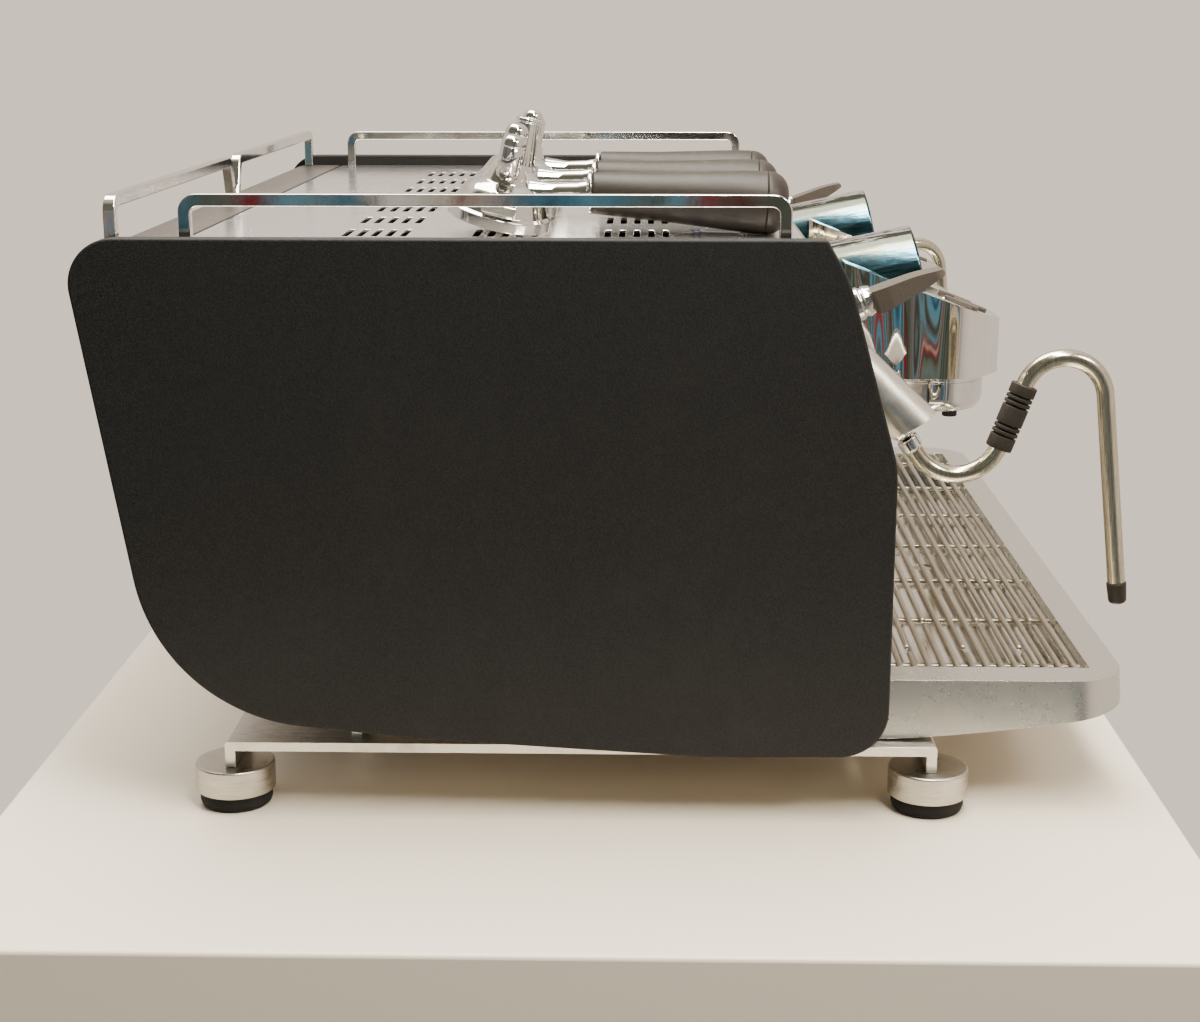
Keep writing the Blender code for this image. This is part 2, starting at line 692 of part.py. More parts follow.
def drip_grille():
    """Rods across the machine, welded on bars that run from back to front."""
    wide = 2 * (DRIP_OPENING_X - 0.0015)
    deep = DRIP_OPENING_Y[1] - DRIP_OPENING_Y[0] - 0.003
    middle_y = sum(DRIP_OPENING_Y) / 2
    rod_z = DRIP_TOP - GRILLE_SINK - ROD_SIZE / 2
    bar_top = rod_z - ROD_SIZE / 2 + 0.0006
    bar_z = bar_top - (CROSS_BAR[1] + 0.0006) / 2
    count = int(deep / ROD_PITCH)
    rods = []
    for k in range(count):
        y = middle_y + (k - (count - 1) / 2) * ROD_PITCH
        name = "drip_grille" if k == 0 else f"grille_rod_{k}"
        rods.append(box(name, (wide, ROD_SIZE, ROD_SIZE), (0, y, rod_z), STEEL if k == 0 else None))
    for k in range(CROSS_BARS):
        x = (k - (CROSS_BARS - 1) / 2) * (wide - 0.04) / (CROSS_BARS - 1)
        bar = box(f"grille_bar_{k}", (CROSS_BAR[0], deep, CROSS_BAR[1] + 0.0006), (x, middle_y, bar_z))
        join(rods[0], bar)
    join(rods[0], *rods[1:])


# ---------------------------------------------------------------- groups
DRUM_TURN = Euler((math.pi / 2 - DRUM_TILT, 0, 0))      # local +Z points forwards and up
DRUM_WAY = Vector((0, -math.cos(DRUM_TILT), math.sin(DRUM_TILT)))


def drum_shape(name, sign, clearance, extra):
    """A plain bar round the drum's axis, wider by the clearance and longer at each end."""
    length = DRUM_LENGTH + 2 * extra
    middle = Vector((sign * GROUP_X, *DRUM_FACE)) - DRUM_WAY * DRUM_LENGTH / 2
    return cylinder(name, DRUM_RADIUS + clearance, length, middle, None, DRUM_TURN, 32)


def drums():
    rim = 0.0012
    profile = [
        (0, -LENS_RECESS), (LENS_RADIUS + BUTTON_CLEARANCE, -LENS_RECESS),
        (LENS_RADIUS + BUTTON_CLEARANCE, 0), (DRUM_RADIUS - rim, 0), (DRUM_RADIUS, -rim),
        (DRUM_RADIUS, -DRUM_LENGTH), (0, -DRUM_LENGTH),
    ]
    top = -LENS_RECESS + GAP + LENS_THICKNESS
    lens = [(0, top), (LENS_RADIUS - 0.001, top), (LENS_RADIUS, top - 0.001),
            (LENS_RADIUS, -LENS_RECESS + GAP), (0, -LENS_RECESS + GAP)]
    for side, sign in SIDES.items():
        place = (sign * GROUP_X, *DRUM_FACE)
        turned(f"group_drum_{side}", profile, place, CHROME, DRUM_TURN, 32)
        turned(f"display_lens_{side}", lens, place, DARK_GLASS, DRUM_TURN)


COVER_TURN = Euler((COVER_SLOPE, 0, 0))         # local Z is square to the sloping top
COVER_UP = Vector((0, -math.sin(COVER_SLOPE), math.cos(COVER_SLOPE)))


def cover_top_z(y):
    return COVER_TOP_FRONT + (y - COVER_FRONT_Y) * math.tan(COVER_SLOPE)


def button_places(sign):
    """The three places on the sloping top, at its surface, the middle one further forward."""
    for number, across in enumerate((-1, 0, 1)):
        y = BUTTON_MIDDLE_Y - (BUTTON_STAGGER if across == 0 else 0)
        yield number + 1, Vector((sign * GROUP_X + across * BUTTON_SPACING, y, cover_top_z(y)))


def group_covers(behind_panel):
    for side, sign in SIDES.items():
        middle = sign * GROUP_X
        plan = rounded([
            (-COVER_HALF_WIDTH, BEHIND_PANEL_Y, 0), (-COVER_HALF_WIDTH, COVER_FRONT_Y, COVER_CORNER),
            (COVER_HALF_WIDTH, COVER_FRONT_Y, COVER_CORNER), (COVER_HALF_WIDTH, BEHIND_PANEL_Y, 0),
        ], step=math.radians(10))
        height = 0.12
        cover = as_mesh(plate(
            f"group_cover_{side}", [plan], height, (middle, 0, COVER_BOTTOM + height / 2), CHROME,
        ))
        above = Vector((middle, COVER_FRONT_Y, COVER_TOP_FRONT)) + COVER_UP * 0.1
        cut(cover, box(f"cut_cover_top_{side}", (0.2, 0.5, 0.2), above, None, COVER_TURN))
        add_bevel(cover, 0.0015, 1)
        cut(cover, behind_panel)
        cut(cover, drum_shape(f"cut_cover_drum_{side}", sign, BUTTON_CLEARANCE, 0.03))
        head_room = HEAD_TOP - COVER_BOTTOM + GAP
        cut(cover, cylinder(
            f"cut_cover_head_{side}", HEAD_RADIUS + BUTTON_CLEARANCE, 2 * head_room,
            (middle, HEAD_Y, COVER_BOTTOM), steps=32,
        ))
        pocket = BUTTON_SIZE[2] - BUTTON_PROUD + BUTTON_TRAVEL + GAP
        for number, place in button_places(sign):
            room = [size + 2 * BUTTON_CLEARANCE for size in BUTTON_SIZE[:2]]
            cut(cover, box(
                f"cut_button_{side}_{number}", (*room, 2 * pocket), place, None, COVER_TURN,
            ))
            middle_up = place + COVER_UP * (BUTTON_PROUD - BUTTON_SIZE[2] / 2)
            box(f"brew_button_{side}_{number}", BUTTON_SIZE, middle_up, PLASTIC, COVER_TURN, 0.0008)


def group_heads():
    """The turned head: a ring with a socket that takes a portafilter from below."""
    roof = HEAD_BOTTOM + SOCKET_DEPTH
    fillet = [
        (HEAD_RADIUS - HEAD_FILLET * (1 - math.cos(angle)), HEAD_BOTTOM + HEAD_FILLET * (1 - math.sin(angle)))
        for angle in (math.radians(step) for step in range(0, 91, 22))
    ]
    profile = [(0, HEAD_TOP), (HEAD_RADIUS, HEAD_TOP), *fillet[:-1],
               (HEAD_RADIUS - HEAD_FILLET * HEAD_FILLET_END, HEAD_BOTTOM), (SOCKET_RADIUS, HEAD_BOTTOM)]
    profile = [(r, z) for r, z in profile if r >= SOCKET_RADIUS or z > roof]
    profile += [(SOCKET_RADIUS, roof), (0, roof)]
    for side, sign in SIDES.items():
        turned(f"group_head_{side}", profile, (sign * GROUP_X, HEAD_Y, 0), CHROME, steps=32)


# ---------------------------------------------------------------- steam valves, levers, wands
VALVE_WAY = Vector((0, -math.cos(VALVE_TILT), -math.sin(VALVE_TILT)))
VALVE_TURN = Euler((math.pi / 2 + VALVE_TILT, 0, 0))
VALVE_SHIFT = Vector((0, -math.cos(VALVE_END_SLOPE), math.sin(VALVE_END_SLOPE))) * VALVE_OFFSET


def valve_bar(name, sign, clearance, material=None):
    """The round housing along its axis; it ends past the slanting face that is cut on it."""
    end = Vector((sign * VALVE_X, *BALL_CENTRE)) + VALVE_SHIFT + VALVE_WAY * VALVE_RADIUS
    middle = end - VALVE_WAY * (VALVE_LENGTH / 2 + clearance)
    return cylinder(name, VALVE_RADIUS + clearance, VALVE_LENGTH + 4 * clearance, middle, material, VALVE_TURN)


def steam_valves():
    for side, sign in SIDES.items():
        ball = Vector((sign * VALVE_X, *BALL_CENTRE))
        valve = valve_bar(f"steam_valve_{side}", sign, 0.0, CHROME)
        below = ball + Vector((0, -math.sin(VALVE_END_SLOPE), -math.cos(VALVE_END_SLOPE))) * 0.05
        cut(valve, box(
            f"cut_valve_end_{side}", (0.1, 0.2, 0.1), below, None, Euler((-VALVE_END_SLOPE, 0, 0)),
        ))
        bm = bmesh.new()
        bmesh.ops.create_uvsphere(bm, u_segments=16, v_segments=10, radius=BALL_RADIUS + 0.0006)
        cut(valve, add_object(f"cut_valve_seat_{side}", mesh_from("seat", bm), None, ball))
        bm = bmesh.new()
        bmesh.ops.create_uvsphere(bm, u_segments=16, v_segments=10, radius=BALL_RADIUS)
        add_object(f"wand_ball_{side}", mesh_from(f"wand_ball_{side}", bm), STEEL, ball)


def wand_path():
    """The wand's middle line as (ahead, up) points and headings, from the ball: straights and bends."""
    heading = WAND_HEADING
    here = Vector((math.cos(heading), math.sin(heading))) * WAND_START
    path = [(here.copy(), heading)]
    for straight, radius, bend in zip(WAND_STRAIGHTS, (*WAND_RADII, 0), (*WAND_TURNS, 0)):
        here = here + Vector((math.cos(heading), math.sin(heading))) * straight
        path.append((here.copy(), heading))
        if not radius:
            continue
        hand = math.copysign(1, bend)
        centre = here + Vector((-math.sin(heading), math.cos(heading))) * radius * hand
        steps = math.ceil(abs(bend) / WAND_BEND_STEP)
        for k in range(1, steps + 1):
            angle = heading + bend * k / steps
            arm = Vector((math.sin(angle), -math.cos(angle))) * radius * hand
            path.append((centre + arm, angle))
        here, heading = path[-1][0], path[-1][1]
    return path


def wands():
    path = wand_path()
    first_bend = math.ceil(abs(WAND_TURNS[0]) / WAND_BEND_STEP)
    grip_start, grip_heading = path[1 + first_bend]
    grip_way = Vector((math.cos(grip_heading), math.sin(grip_heading)))
    grip_middle = grip_start + grip_way * (WAND_STRAIGHTS[1] / 2 - 0.001)
    end, end_heading = path[-1]
    for side, sign in SIDES.items():
        swing = Matrix.Rotation(sign * WAND_TURN[side], 4, "Z")
        ball = Matrix.Translation((sign * VALVE_X, *BALL_CENTRE)) @ swing

        def place(point):
            return ball @ Vector((0, -point.x, point.y))

        def along(middle, heading):
            """A matrix at a point of the path with its Z along the way there."""
            return ball @ Matrix.Translation((0, -middle.x, middle.y)) @ Matrix.Rotation(
                math.pi / 2 - heading, 4, "X"
            )

        tube(f"steam_wand_{side}", [place(point) for point, _ in path], WAND_RADIUS, STEEL, 3)
        grip = turned(f"wand_grip_{side}", grip_profile(), material=RUBBER, steps=16, closed=True)
        grip.matrix_world = along(grip_middle, grip_heading)
        tip = turned(f"wand_tip_{side}", tip_profile(), material=RUBBER, steps=16)
        tip.matrix_world = along(end, end_heading)


def grip_profile():
    """A rubber sleeve with two sets of ribs, as a closed loop of (radius, height)."""
    half = GRIP_LENGTH / 2
    groove = GRIP_RADIUS - 0.0016
    rib = 0.0022
    outer = [(GRIP_RADIUS - 0.0006, half), (GRIP_RADIUS, half - 0.0006)]
    for middle in (half * 0.42, -half * 0.42):
        for k in (1, -1):
            z = middle + k * rib
            outer += [(GRIP_RADIUS, z + rib * 0.45), (groove, z + rib * 0.25),
                      (groove, z - rib * 0.25), (GRIP_RADIUS, z - rib * 0.45)]
    outer += [(GRIP_RADIUS, 0.0006 - half), (GRIP_RADIUS - 0.0006, -half)]
    inner = WAND_RADIUS + GRIP_CLEARANCE
    return outer + [(inner, -half), (inner, half)]


def tip_profile():
    """The nozzle, from the pipe's end at 0 along +Z, with a round nose."""
    nose = 0.005
    rounding = [
        (TIP_RADIUS - nose * (1 - math.cos(angle)), TIP_LENGTH - nose * (1 - math.sin(angle)))
        for angle in (math.radians(step) for step in range(90, -1, -30))
    ]
    return [(0, TIP_LENGTH), *rounding, (TIP_RADIUS, GAP), (0, GAP)]


def hot_water_spout(behind_panel):
    """A pipe that comes forward out of the front panel, bends and ends over the drip tray."""
    low, high = SPOUT_PIPE_Z
    points = [(0, BEHIND_PANEL_Y, high)]
    for step in range(0, 91, 15):
        angle = math.radians(step)
        y = SPOUT_PIPE_Y + SPOUT_PIPE_BEND * (1 - math.sin(angle))
        points.append((0, y, high - SPOUT_PIPE_BEND * (1 - math.cos(angle))))
    points.append((0, SPOUT_PIPE_Y, low))
    spout = as_mesh(tube("hot_water_spout", points, SPOUT_PIPE_RADIUS, STEEL, 2))
    radius, length = SPOUT_FLANGE
    front_y = panel_face_y(high) - length
    join(spout, cylinder(
        "spout_flange", radius, BEHIND_PANEL_Y - front_y, (0, (BEHIND_PANEL_Y + front_y) / 2, high),
        None, Euler((math.pi / 2, 0, 0)), 20,
    ))
    cut(spout, behind_panel)


def levers():
    way = Vector((0, -math.cos(LEVER_ANGLE), math.sin(LEVER_ANGLE)))
    turn = Euler((-LEVER_ANGLE, 0, 0))
    start = LEVER_HUB_RADIUS * 0.6
    for side, sign in SIDES.items():
        pivot = Vector((sign * LEVER_X, *LEVER_PIVOT))
        lever = cylinder(
            f"steam_lever_{side}", LEVER_HUB_RADIUS, LEVER_HUB_WIDTH, pivot, PLASTIC,
            Euler((0, math.pi / 2, 0)), bevel=0.001,
        )
        bm = bmesh.new()
        bmesh.ops.create_cube(bm, size=1.0)
        for vert in bm.verts:
            width, height = LEVER_TIP if vert.co.y < 0 else LEVER_ROOT
            vert.co.x *= width
            vert.co.z *= height
            vert.co.y *= LEVER_LENGTH - start
        paddle = add_object(
            f"paddle_{side}", mesh_from("paddle", bm), None,
            pivot + way * (LEVER_LENGTH + start) / 2, turn,
        )
        add_bevel(paddle, 0.0025, 2)
        join(lever, paddle)


# ---------------------------------------------------------------- portafilters
def handle_start_z():
    """Where the handle's axis leaves the basket, with the butt on the tray."""
    return TRAY_TOP + GAP + HANDLE_RADII[1] + (HANDLE_LENGTH - HANDLE_CAP) * math.sin(HANDLE_TILT)


def portafilter_basket(number, x, roll, kind):
    """The holder upside down: a bowl open downwards, a hub, its spouts and the neck of the handle."""
    lean = Euler((BASKET_TILT, roll, 0))
    up = Vector((0, 0, 1))
    up.rotate(lean)
    rim_drop = BASKET_RADIUS * math.sqrt(1 - up.z ** 2)
    place = Vector((x, BASKET_Y, TRAY_TOP + 2 * GAP + rim_drop))
    inner = BASKET_RADIUS - BASKET_WALL
    roof = BASKET_HEIGHT - BASKET_WALL
    bowl = [
        (0, BASKET_HEIGHT), (BASKET_TOP_RADIUS - 0.004, BASKET_HEIGHT),
        (BASKET_TOP_RADIUS, BASKET_HEIGHT - 0.003), (BASKET_RADIUS - 0.0015, 0.010),
        (BASKET_RADIUS, 0.006), (BASKET_RADIUS, 0), (inner, 0),
        (inner, 0.008), (BASKET_TOP_RADIUS - BASKET_WALL, roof), (0, roof),
    ]
    basket = turned(f"portafilter_basket_{number}", bowl, place, CHROME, lean)
    top = place + up * BASKET_HEIGHT
    hub = [(0, HUB_HEIGHT[kind]), (HUB_RADII[1], HUB_HEIGHT[kind]), (HUB_RADII[0], -0.003), (0, -0.003)]
    join(basket, turned(f"hub_{number}", hub, top, None, lean, 18))
    if kind == "double":
        across = Vector((1, 0, 0))
        across.rotate(lean)
        for hand in (-1, 1):
            path = []
            for step in range(0, 91, 15):
                angle = math.radians(step)
                out = hand * SPOUT_SPREAD * math.sin(angle)
                path.append(top + across * out + up * (0.004 + SPOUT_RISE * (1 - math.cos(angle))))
            path.append(top + across * hand * SPOUT_SPREAD + up * SPOUT_HEIGHT)
            join(basket, as_mesh(tube(f"spout_{number}_{hand}", path, SPOUT_RADIUS, None, 2)))
    neck_end = PORTAFILTER_NECK_Y + 2 * GAP
    neck_start = BASKET_Y - BASKET_TOP_RADIUS - 0.001
    join(basket, cylinder(
        f"neck_{number}", NECK_RADIUS, neck_start - neck_end,
        (x, (neck_start + neck_end) / 2, handle_start_z()), None, Euler((math.pi / 2, 0.1, 0)), 14,
    ))


def portafilters():
    neck, butt = HANDLE_RADII
    handle = [(0, 0), (neck - 0.001, 0), (neck, -0.001)]
    handle += [(neck, -0.045), ((neck + butt) / 2, -0.085)]
    for step in range(0, 90, 15):
        angle = math.radians(step)
        drop = HANDLE_LENGTH - HANDLE_CAP * (1 - math.sin(angle))
        handle.append((butt * math.cos(angle), -drop))
    handle += [(0, -HANDLE_LENGTH)]
    for number, (inwards, roll, kind) in enumerate(PORTAFILTERS, 1):
        x = inwards - HALF_WIDTH
        portafilter_basket(number, x, roll, kind)
        turned(
            f"portafilter_handle_{number}", handle, (x, PORTAFILTER_NECK_Y, handle_start_z()),
            PLASTIC, Euler((HANDLE_TILT - math.pi / 2, 0, 0)), 20,
        )


# ---------------------------------------------------------------- inside
def inside():
    across = Euler((0, math.pi / 2, 0))
    half = BOILER_LENGTH / 2
    boiler_profile = [
        (0, half), (BOILER_RADIUS * 0.55, half - BOILER_DISH * 0.25),
        (BOILER_RADIUS * 0.88, half - BOILER_DISH * 0.7), (BOILER_RADIUS, half - BOILER_DISH * 1.5),
        (BOILER_RADIUS, BOILER_DISH * 1.5 - half), (BOILER_RADIUS * 0.88, BOILER_DISH * 0.7 - half),
        (BOILER_RADIUS * 0.55, BOILER_DISH * 0.25 - half), (0, -half),
    ]
    boiler = turned("steam_boiler", boiler_profile, BOILER_PLACE, COPPER, across)
    floor = CHASSIS_BOTTOM + SHEET + GAP
    x, y, z = BOILER_PLACE
    saddle_y = CHASSIS_Y[1] - SHEET - GAP - SADDLE[1] / 2
    for hand in (-1, 1):
        join(boiler, box(
            f"saddle_{hand}", (SADDLE[0], SADDLE[1], z - SADDLE_DROP - floor),
            (hand * BOILER_LENGTH * SADDLE_SPREAD, saddle_y, (z - SADDLE_DROP + floor) / 2),
        ))
    along = Euler((math.pi / 2, 0, 0))
    for side, sign in SIDES.items():
        place = (sign * GROUP_X, *BREW_BOILER_PLACE)
        brew = cylinder(
            f"brew_boiler_{side}", BREW_BOILER_RADIUS, BREW_BOILER_LENGTH, place, BRUSHED, along, bevel=0.003,
        )
        leg_top = BREW_BOILER_PLACE[1] - BREW_BOILER_RADIUS * 0.6
        join(brew, box(
            f"brew_leg_{side}", (BREW_LEG[0], BREW_LEG[1], leg_top - floor),
            (sign * GROUP_X, BREW_BOILER_PLACE[0], (leg_top + floor) / 2),
        ))
    motor = cylinder("pump_motor", MOTOR_RADIUS, MOTOR_LENGTH, MOTOR_PLACE, CAST_ALUMINIUM, across, bevel=0.004)
    x, y, z = MOTOR_PLACE
    pump_x = x + MOTOR_LENGTH / 2 + PUMP_LENGTH / 2 - PUMP_SPIGOT
    join(motor, cylinder("pump", PUMP_RADIUS, PUMP_LENGTH, (pump_x, y, z), None, across, 16))
    join(motor, box("motor_foot", (MOTOR_FOOT[0], MOTOR_FOOT[1], z - floor), (x, y, (z + floor) / 2)))


def main():
    side_panels()
    skids()
    feet()
    chassis()
    front_panel()
    rear_cover()
    cup_tray()
    rails()
    drip_rim()
    drip_pan()
    drip_grille()
    drums()
    behind_panel = body_front_cutter("cut_behind_panel", GAP)
    group_covers(behind_panel)
    group_heads()
    steam_valves()
    wands()
    hot_water_spout(behind_panel)
    levers()
    portafilters()
    inside()
    bpy.context.view_layer.update()


main()
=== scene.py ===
import math

import bpy
from mathutils import Euler, Matrix, Vector


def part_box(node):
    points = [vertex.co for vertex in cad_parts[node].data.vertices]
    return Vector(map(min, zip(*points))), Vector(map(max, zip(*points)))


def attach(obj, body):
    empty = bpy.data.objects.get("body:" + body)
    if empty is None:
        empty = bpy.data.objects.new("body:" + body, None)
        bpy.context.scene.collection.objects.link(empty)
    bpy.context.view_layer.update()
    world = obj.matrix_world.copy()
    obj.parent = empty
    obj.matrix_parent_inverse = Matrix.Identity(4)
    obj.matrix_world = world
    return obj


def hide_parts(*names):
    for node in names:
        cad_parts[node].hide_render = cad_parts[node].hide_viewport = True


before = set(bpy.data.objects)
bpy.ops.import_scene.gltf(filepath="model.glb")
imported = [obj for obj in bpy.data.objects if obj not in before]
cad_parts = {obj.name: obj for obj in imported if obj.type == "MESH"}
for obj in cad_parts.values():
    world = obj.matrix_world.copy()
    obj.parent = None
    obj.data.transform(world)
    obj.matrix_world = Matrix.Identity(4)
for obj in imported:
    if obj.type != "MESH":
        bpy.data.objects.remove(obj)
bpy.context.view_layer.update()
sides = {"left": -1, "right": 1}
up = Vector((0, 0, 1))
across = Vector((1, 0, 0))
print("frame loaded")


# working by hand: picking, drawing, turning, cutting

def deselectAll():
    active = bpy.context.view_layer.objects.active
    if active is not None and active.mode == "EDIT":
        bpy.ops.object.mode_set(mode="OBJECT")
    bpy.ops.object.select_all(action="DESELECT")


def pick(piece):
    deselectAll()
    piece.select_set(True)
    bpy.context.view_layer.objects.active = piece


def drawChain(name, points):
    # a plane shrunk to one point, then extruded from place to place; stays in edit mode
    deselectAll()
    bpy.ops.mesh.primitive_plane_add(size=0.001)
    piece = bpy.context.object
    piece.name = name
    bpy.ops.object.mode_set(mode="EDIT")
    bpy.ops.mesh.select_all(action="SELECT")
    bpy.ops.mesh.merge(type="CENTER")
    bpy.ops.transform.translate(value=points[0])
    for last, here in zip(points, points[1:]):
        bpy.ops.mesh.extrude_region_move(TRANSFORM_OT_translate={"value": here - last})
    bpy.ops.mesh.select_all(action="SELECT")
    return piece


def closeUp(threshold=0.00001):
    # seams and poles merged, faces turned outwards, back to object mode
    bpy.ops.mesh.select_all(action="SELECT")
    bpy.ops.mesh.remove_doubles(threshold=threshold)
    bpy.ops.mesh.normals_make_consistent(inside=False)
    bpy.ops.object.mode_set(mode="OBJECT")


def roundOff(corners, closed=True, step=4):
    # (a, b, radius) corners of a line, with an arc of short stretches in each corner
    points = []
    for i, (a, b, radius) in enumerate(corners):
        here = Vector((a, b))
        if radius == 0 or (not closed and i in (0, len(corners) - 1)):
            points.append(here)
            continue
        back = (Vector(corners[i - 1][:2]) - here).normalized()
        ahead = (Vector(corners[(i + 1) % len(corners)][:2]) - here).normalized()
        half = back.angle(ahead) / 2
        middle = here + (back + ahead).normalized() * radius / math.sin(half)
        arm = here + back * radius / math.tan(half) - middle
        last = here + ahead * radius / math.tan(half) - middle
        sweep = arm.angle_signed(last)
        pieces = max(2, math.ceil(abs(math.degrees(sweep)) / step))
        for k in range(pieces + 1):
            turned = arm.copy()
            turned.rotate(Matrix.Rotation(-sweep * k / pieces, 2))
            points.append(middle + turned)
    return points


def latheTurn(name, profile, centre, axis=up, steps=64, loop=False):
    # (radius, height) points spun round an axis that starts at the centre
    stand = up.rotation_difference(Vector(axis))
    places = [Vector(centre) + stand @ Vector((radius, 0, height)) for radius, height in profile]
    if loop:
        places.append(places[0])
    piece = drawChain(name, places)
    bpy.ops.mesh.spin(steps=steps, angle=2 * math.pi, center=centre, axis=axis)
    closeUp()
    return piece


def cutPlate(name, outline, place, thickness):
    # a flat outline filled and extruded
    piece = drawChain(name, [place(a, b) for a, b in outline])
    bpy.ops.mesh.edge_face_add()
    bpy.ops.mesh.extrude_region_move(TRANSFORM_OT_translate={"value": thickness})
    closeUp()
    return piece


def bendPipe(name, points, radius, roundness=8):
    # a drawn line turned into a round pipe with closed ends
    drawChain(name, points)
    bpy.ops.object.mode_set(mode="OBJECT")
    bpy.ops.object.convert(target="CURVE")
    pipe = bpy.context.object
    pipe.data.bevel_depth = radius
    pipe.data.bevel_resolution = roundness
    pipe.data.use_fill_caps = True
    bpy.ops.object.convert(target="MESH")
    pipe = bpy.context.object
    bpy.ops.object.mode_set(mode="EDIT")
    closeUp()
    return pipe


def block(name, size, place, turn=(0, 0, 0)):
    # a cube at its size and place, with its turn in its mesh
    deselectAll()
    bpy.ops.mesh.primitive_cube_add(size=1, location=place, rotation=turn, scale=size)
    piece = bpy.context.object
    piece.name = name
    bpy.ops.object.transform_apply(location=True, rotation=True, scale=True)
    return piece


def applyAll(piece):
    pick(piece)
    for modifier in list(piece.modifiers):
        bpy.ops.object.modifier_apply(modifier=modifier.name)


def carve(piece, cutter, operation="DIFFERENCE"):
    cut = piece.modifiers.new("cut", "BOOLEAN")
    cut.operation = operation
    cut.solver = "EXACT"
    cut.object = cutter
    applyAll(piece)
    bpy.data.objects.remove(cutter)
    return piece


def softenEdges(piece, width, segments=3, limit=30):
    # rounded edges with flat faces that stay flat in a reflection
    pick(piece)
    bpy.ops.object.shade_smooth_by_angle(angle=math.radians(limit))
    bevel = piece.modifiers.new("edges", "BEVEL")
    bevel.width = width
    bevel.segments = segments
    bevel.limit_method = "ANGLE"
    bevel.angle_limit = math.radians(limit)
    bevel.use_clamp_overlap = True
    bevel.miter_outer = "MITER_ARC"
    flatFaces = piece.modifiers.new("flatFaces", "WEIGHTED_NORMAL")
    flatFaces.keep_sharp = True
    flatFaces.weight = 60
    applyAll(piece)
    return piece


def smoothRound(piece, limit=32):
    pick(piece)
    bpy.ops.object.shade_smooth_by_angle(angle=math.radians(limit))
    return piece


def turnSmooth(name, profile, centre, axis=up, steps=64, loop=False, limit=35):
    return smoothRound(latheTurn(name, profile, centre, axis, steps, loop), limit)


def joinUp(pieces, name):
    deselectAll()
    for piece in pieces:
        piece.select_set(True)
    bpy.context.view_layer.objects.active = pieces[0]
    bpy.ops.object.join()
    whole = bpy.context.object
    whole.name = name
    return whole


def forwardsUp(angle):
    # the way out of the front, raised by an angle
    return Vector((0, -math.cos(angle), math.sin(angle)))


def fromNode(node, name):
    # a merged copy of a CAD solid
    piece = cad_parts[node].copy()
    piece.data = piece.data.copy()
    for key in list(piece.keys()):
        del piece[key]
    piece.parent = None
    bpy.context.scene.collection.objects.link(piece)
    piece.name = name
    piece.data.materials.clear()
    pick(piece)
    bpy.ops.object.mode_set(mode="EDIT")
    bpy.ops.mesh.select_all(action="SELECT")
    bpy.ops.mesh.customdata_custom_splitnormals_clear()
    bpy.ops.mesh.remove_doubles(threshold=0.000005)
    bpy.ops.object.mode_set(mode="OBJECT")
    return piece


def fit(piece, body, slot, material, *nodes):
    # the piece gets its finish, moves with its body and stands for its CAD solids
    piece.data.materials.clear()
    piece.data.materials.append(material)
    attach(piece, body)
    if nodes:
        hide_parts(*nodes)
    return piece


# shader building

def addNode(tree, kind, settings=None, sockets=None):
    made = tree.nodes.new(kind)
    for key, value in (settings or {}).items():
        setattr(made, key, value)
    for key, value in (sockets or {}).items():
        if isinstance(value, bpy.types.NodeSocket):
            tree.links.new(value, made.inputs[key])
        else:
            made.inputs[key].default_value = value
    return made


def newEffect(name, inputs, outputs):
    # a node group with named sockets
    group = bpy.data.node_groups.new(name, "ShaderNodeTree")
    for label, kind, value in inputs:
        socket = group.interface.new_socket(label, in_out="INPUT", socket_type=kind)
        socket.default_value = value
    for label, kind in outputs:
        group.interface.new_socket(label, in_out="OUTPUT", socket_type=kind)
    start = group.nodes.new("NodeGroupInput")
    end = group.nodes.new("NodeGroupOutput")
    return group, start, end


def useEffect(tree, group, sockets=None):
    return addNode(tree, "ShaderNodeGroup", {"node_tree": group}, sockets)


def mapRange(tree, value, low, high, newLow=0.0, newHigh=1.0):
    made = addNode(tree, "ShaderNodeMapRange", None, {
        "Value": value, "From Min": low, "From Max": high, "To Min": newLow, "To Max": newHigh,
    })
    return made.outputs["Result"]


def combine(tree, operation, first, second):
    made = addNode(tree, "ShaderNodeMath", {"operation": operation}, {0: first, 1: second})
    return made.outputs[0]


def mixColour(tree, share, first, second):
    made = addNode(tree, "ShaderNodeMix", {"data_type": "RGBA"}, {"Factor": share})
    for socket, value in ((made.inputs[6], first), (made.inputs[7], second)):
        if isinstance(value, bpy.types.NodeSocket):
            tree.links.new(value, socket)
        else:
            socket.default_value = (*value, 1.0)
    return made.outputs[2]


def powderGrainEffect():
    group, start, end = newEffect(
        "powderGrain",
        [("Scale", "NodeSocketFloat", 900.0)],
        [("Height", "NodeSocketFloat"), ("Speck", "NodeSocketFloat")],
    )
    place = addNode(group, "ShaderNodeTexCoord").outputs["Object"]
    scale = start.outputs["Scale"]
    lumps = addNode(group, "ShaderNodeTexNoise", None, {
        "Vector": place, "Scale": scale, "Detail": 2.0, "Roughness": 0.6,
    }).outputs["Fac"]
    cells = addNode(group, "ShaderNodeTexVoronoi", {"feature": "SMOOTH_F1"}, {
        "Vector": place, "Scale": combine(group, "MULTIPLY", scale, 0.8), "Smoothness": 0.4,
    }).outputs["Distance"]
    height = combine(group, "ADD", combine(group, "MULTIPLY", cells, 0.6), lumps)
    group.links.new(height, end.inputs["Height"])
    group.links.new(mapRange(group, lumps, 0.38, 0.66), end.inputs["Speck"])
    return group


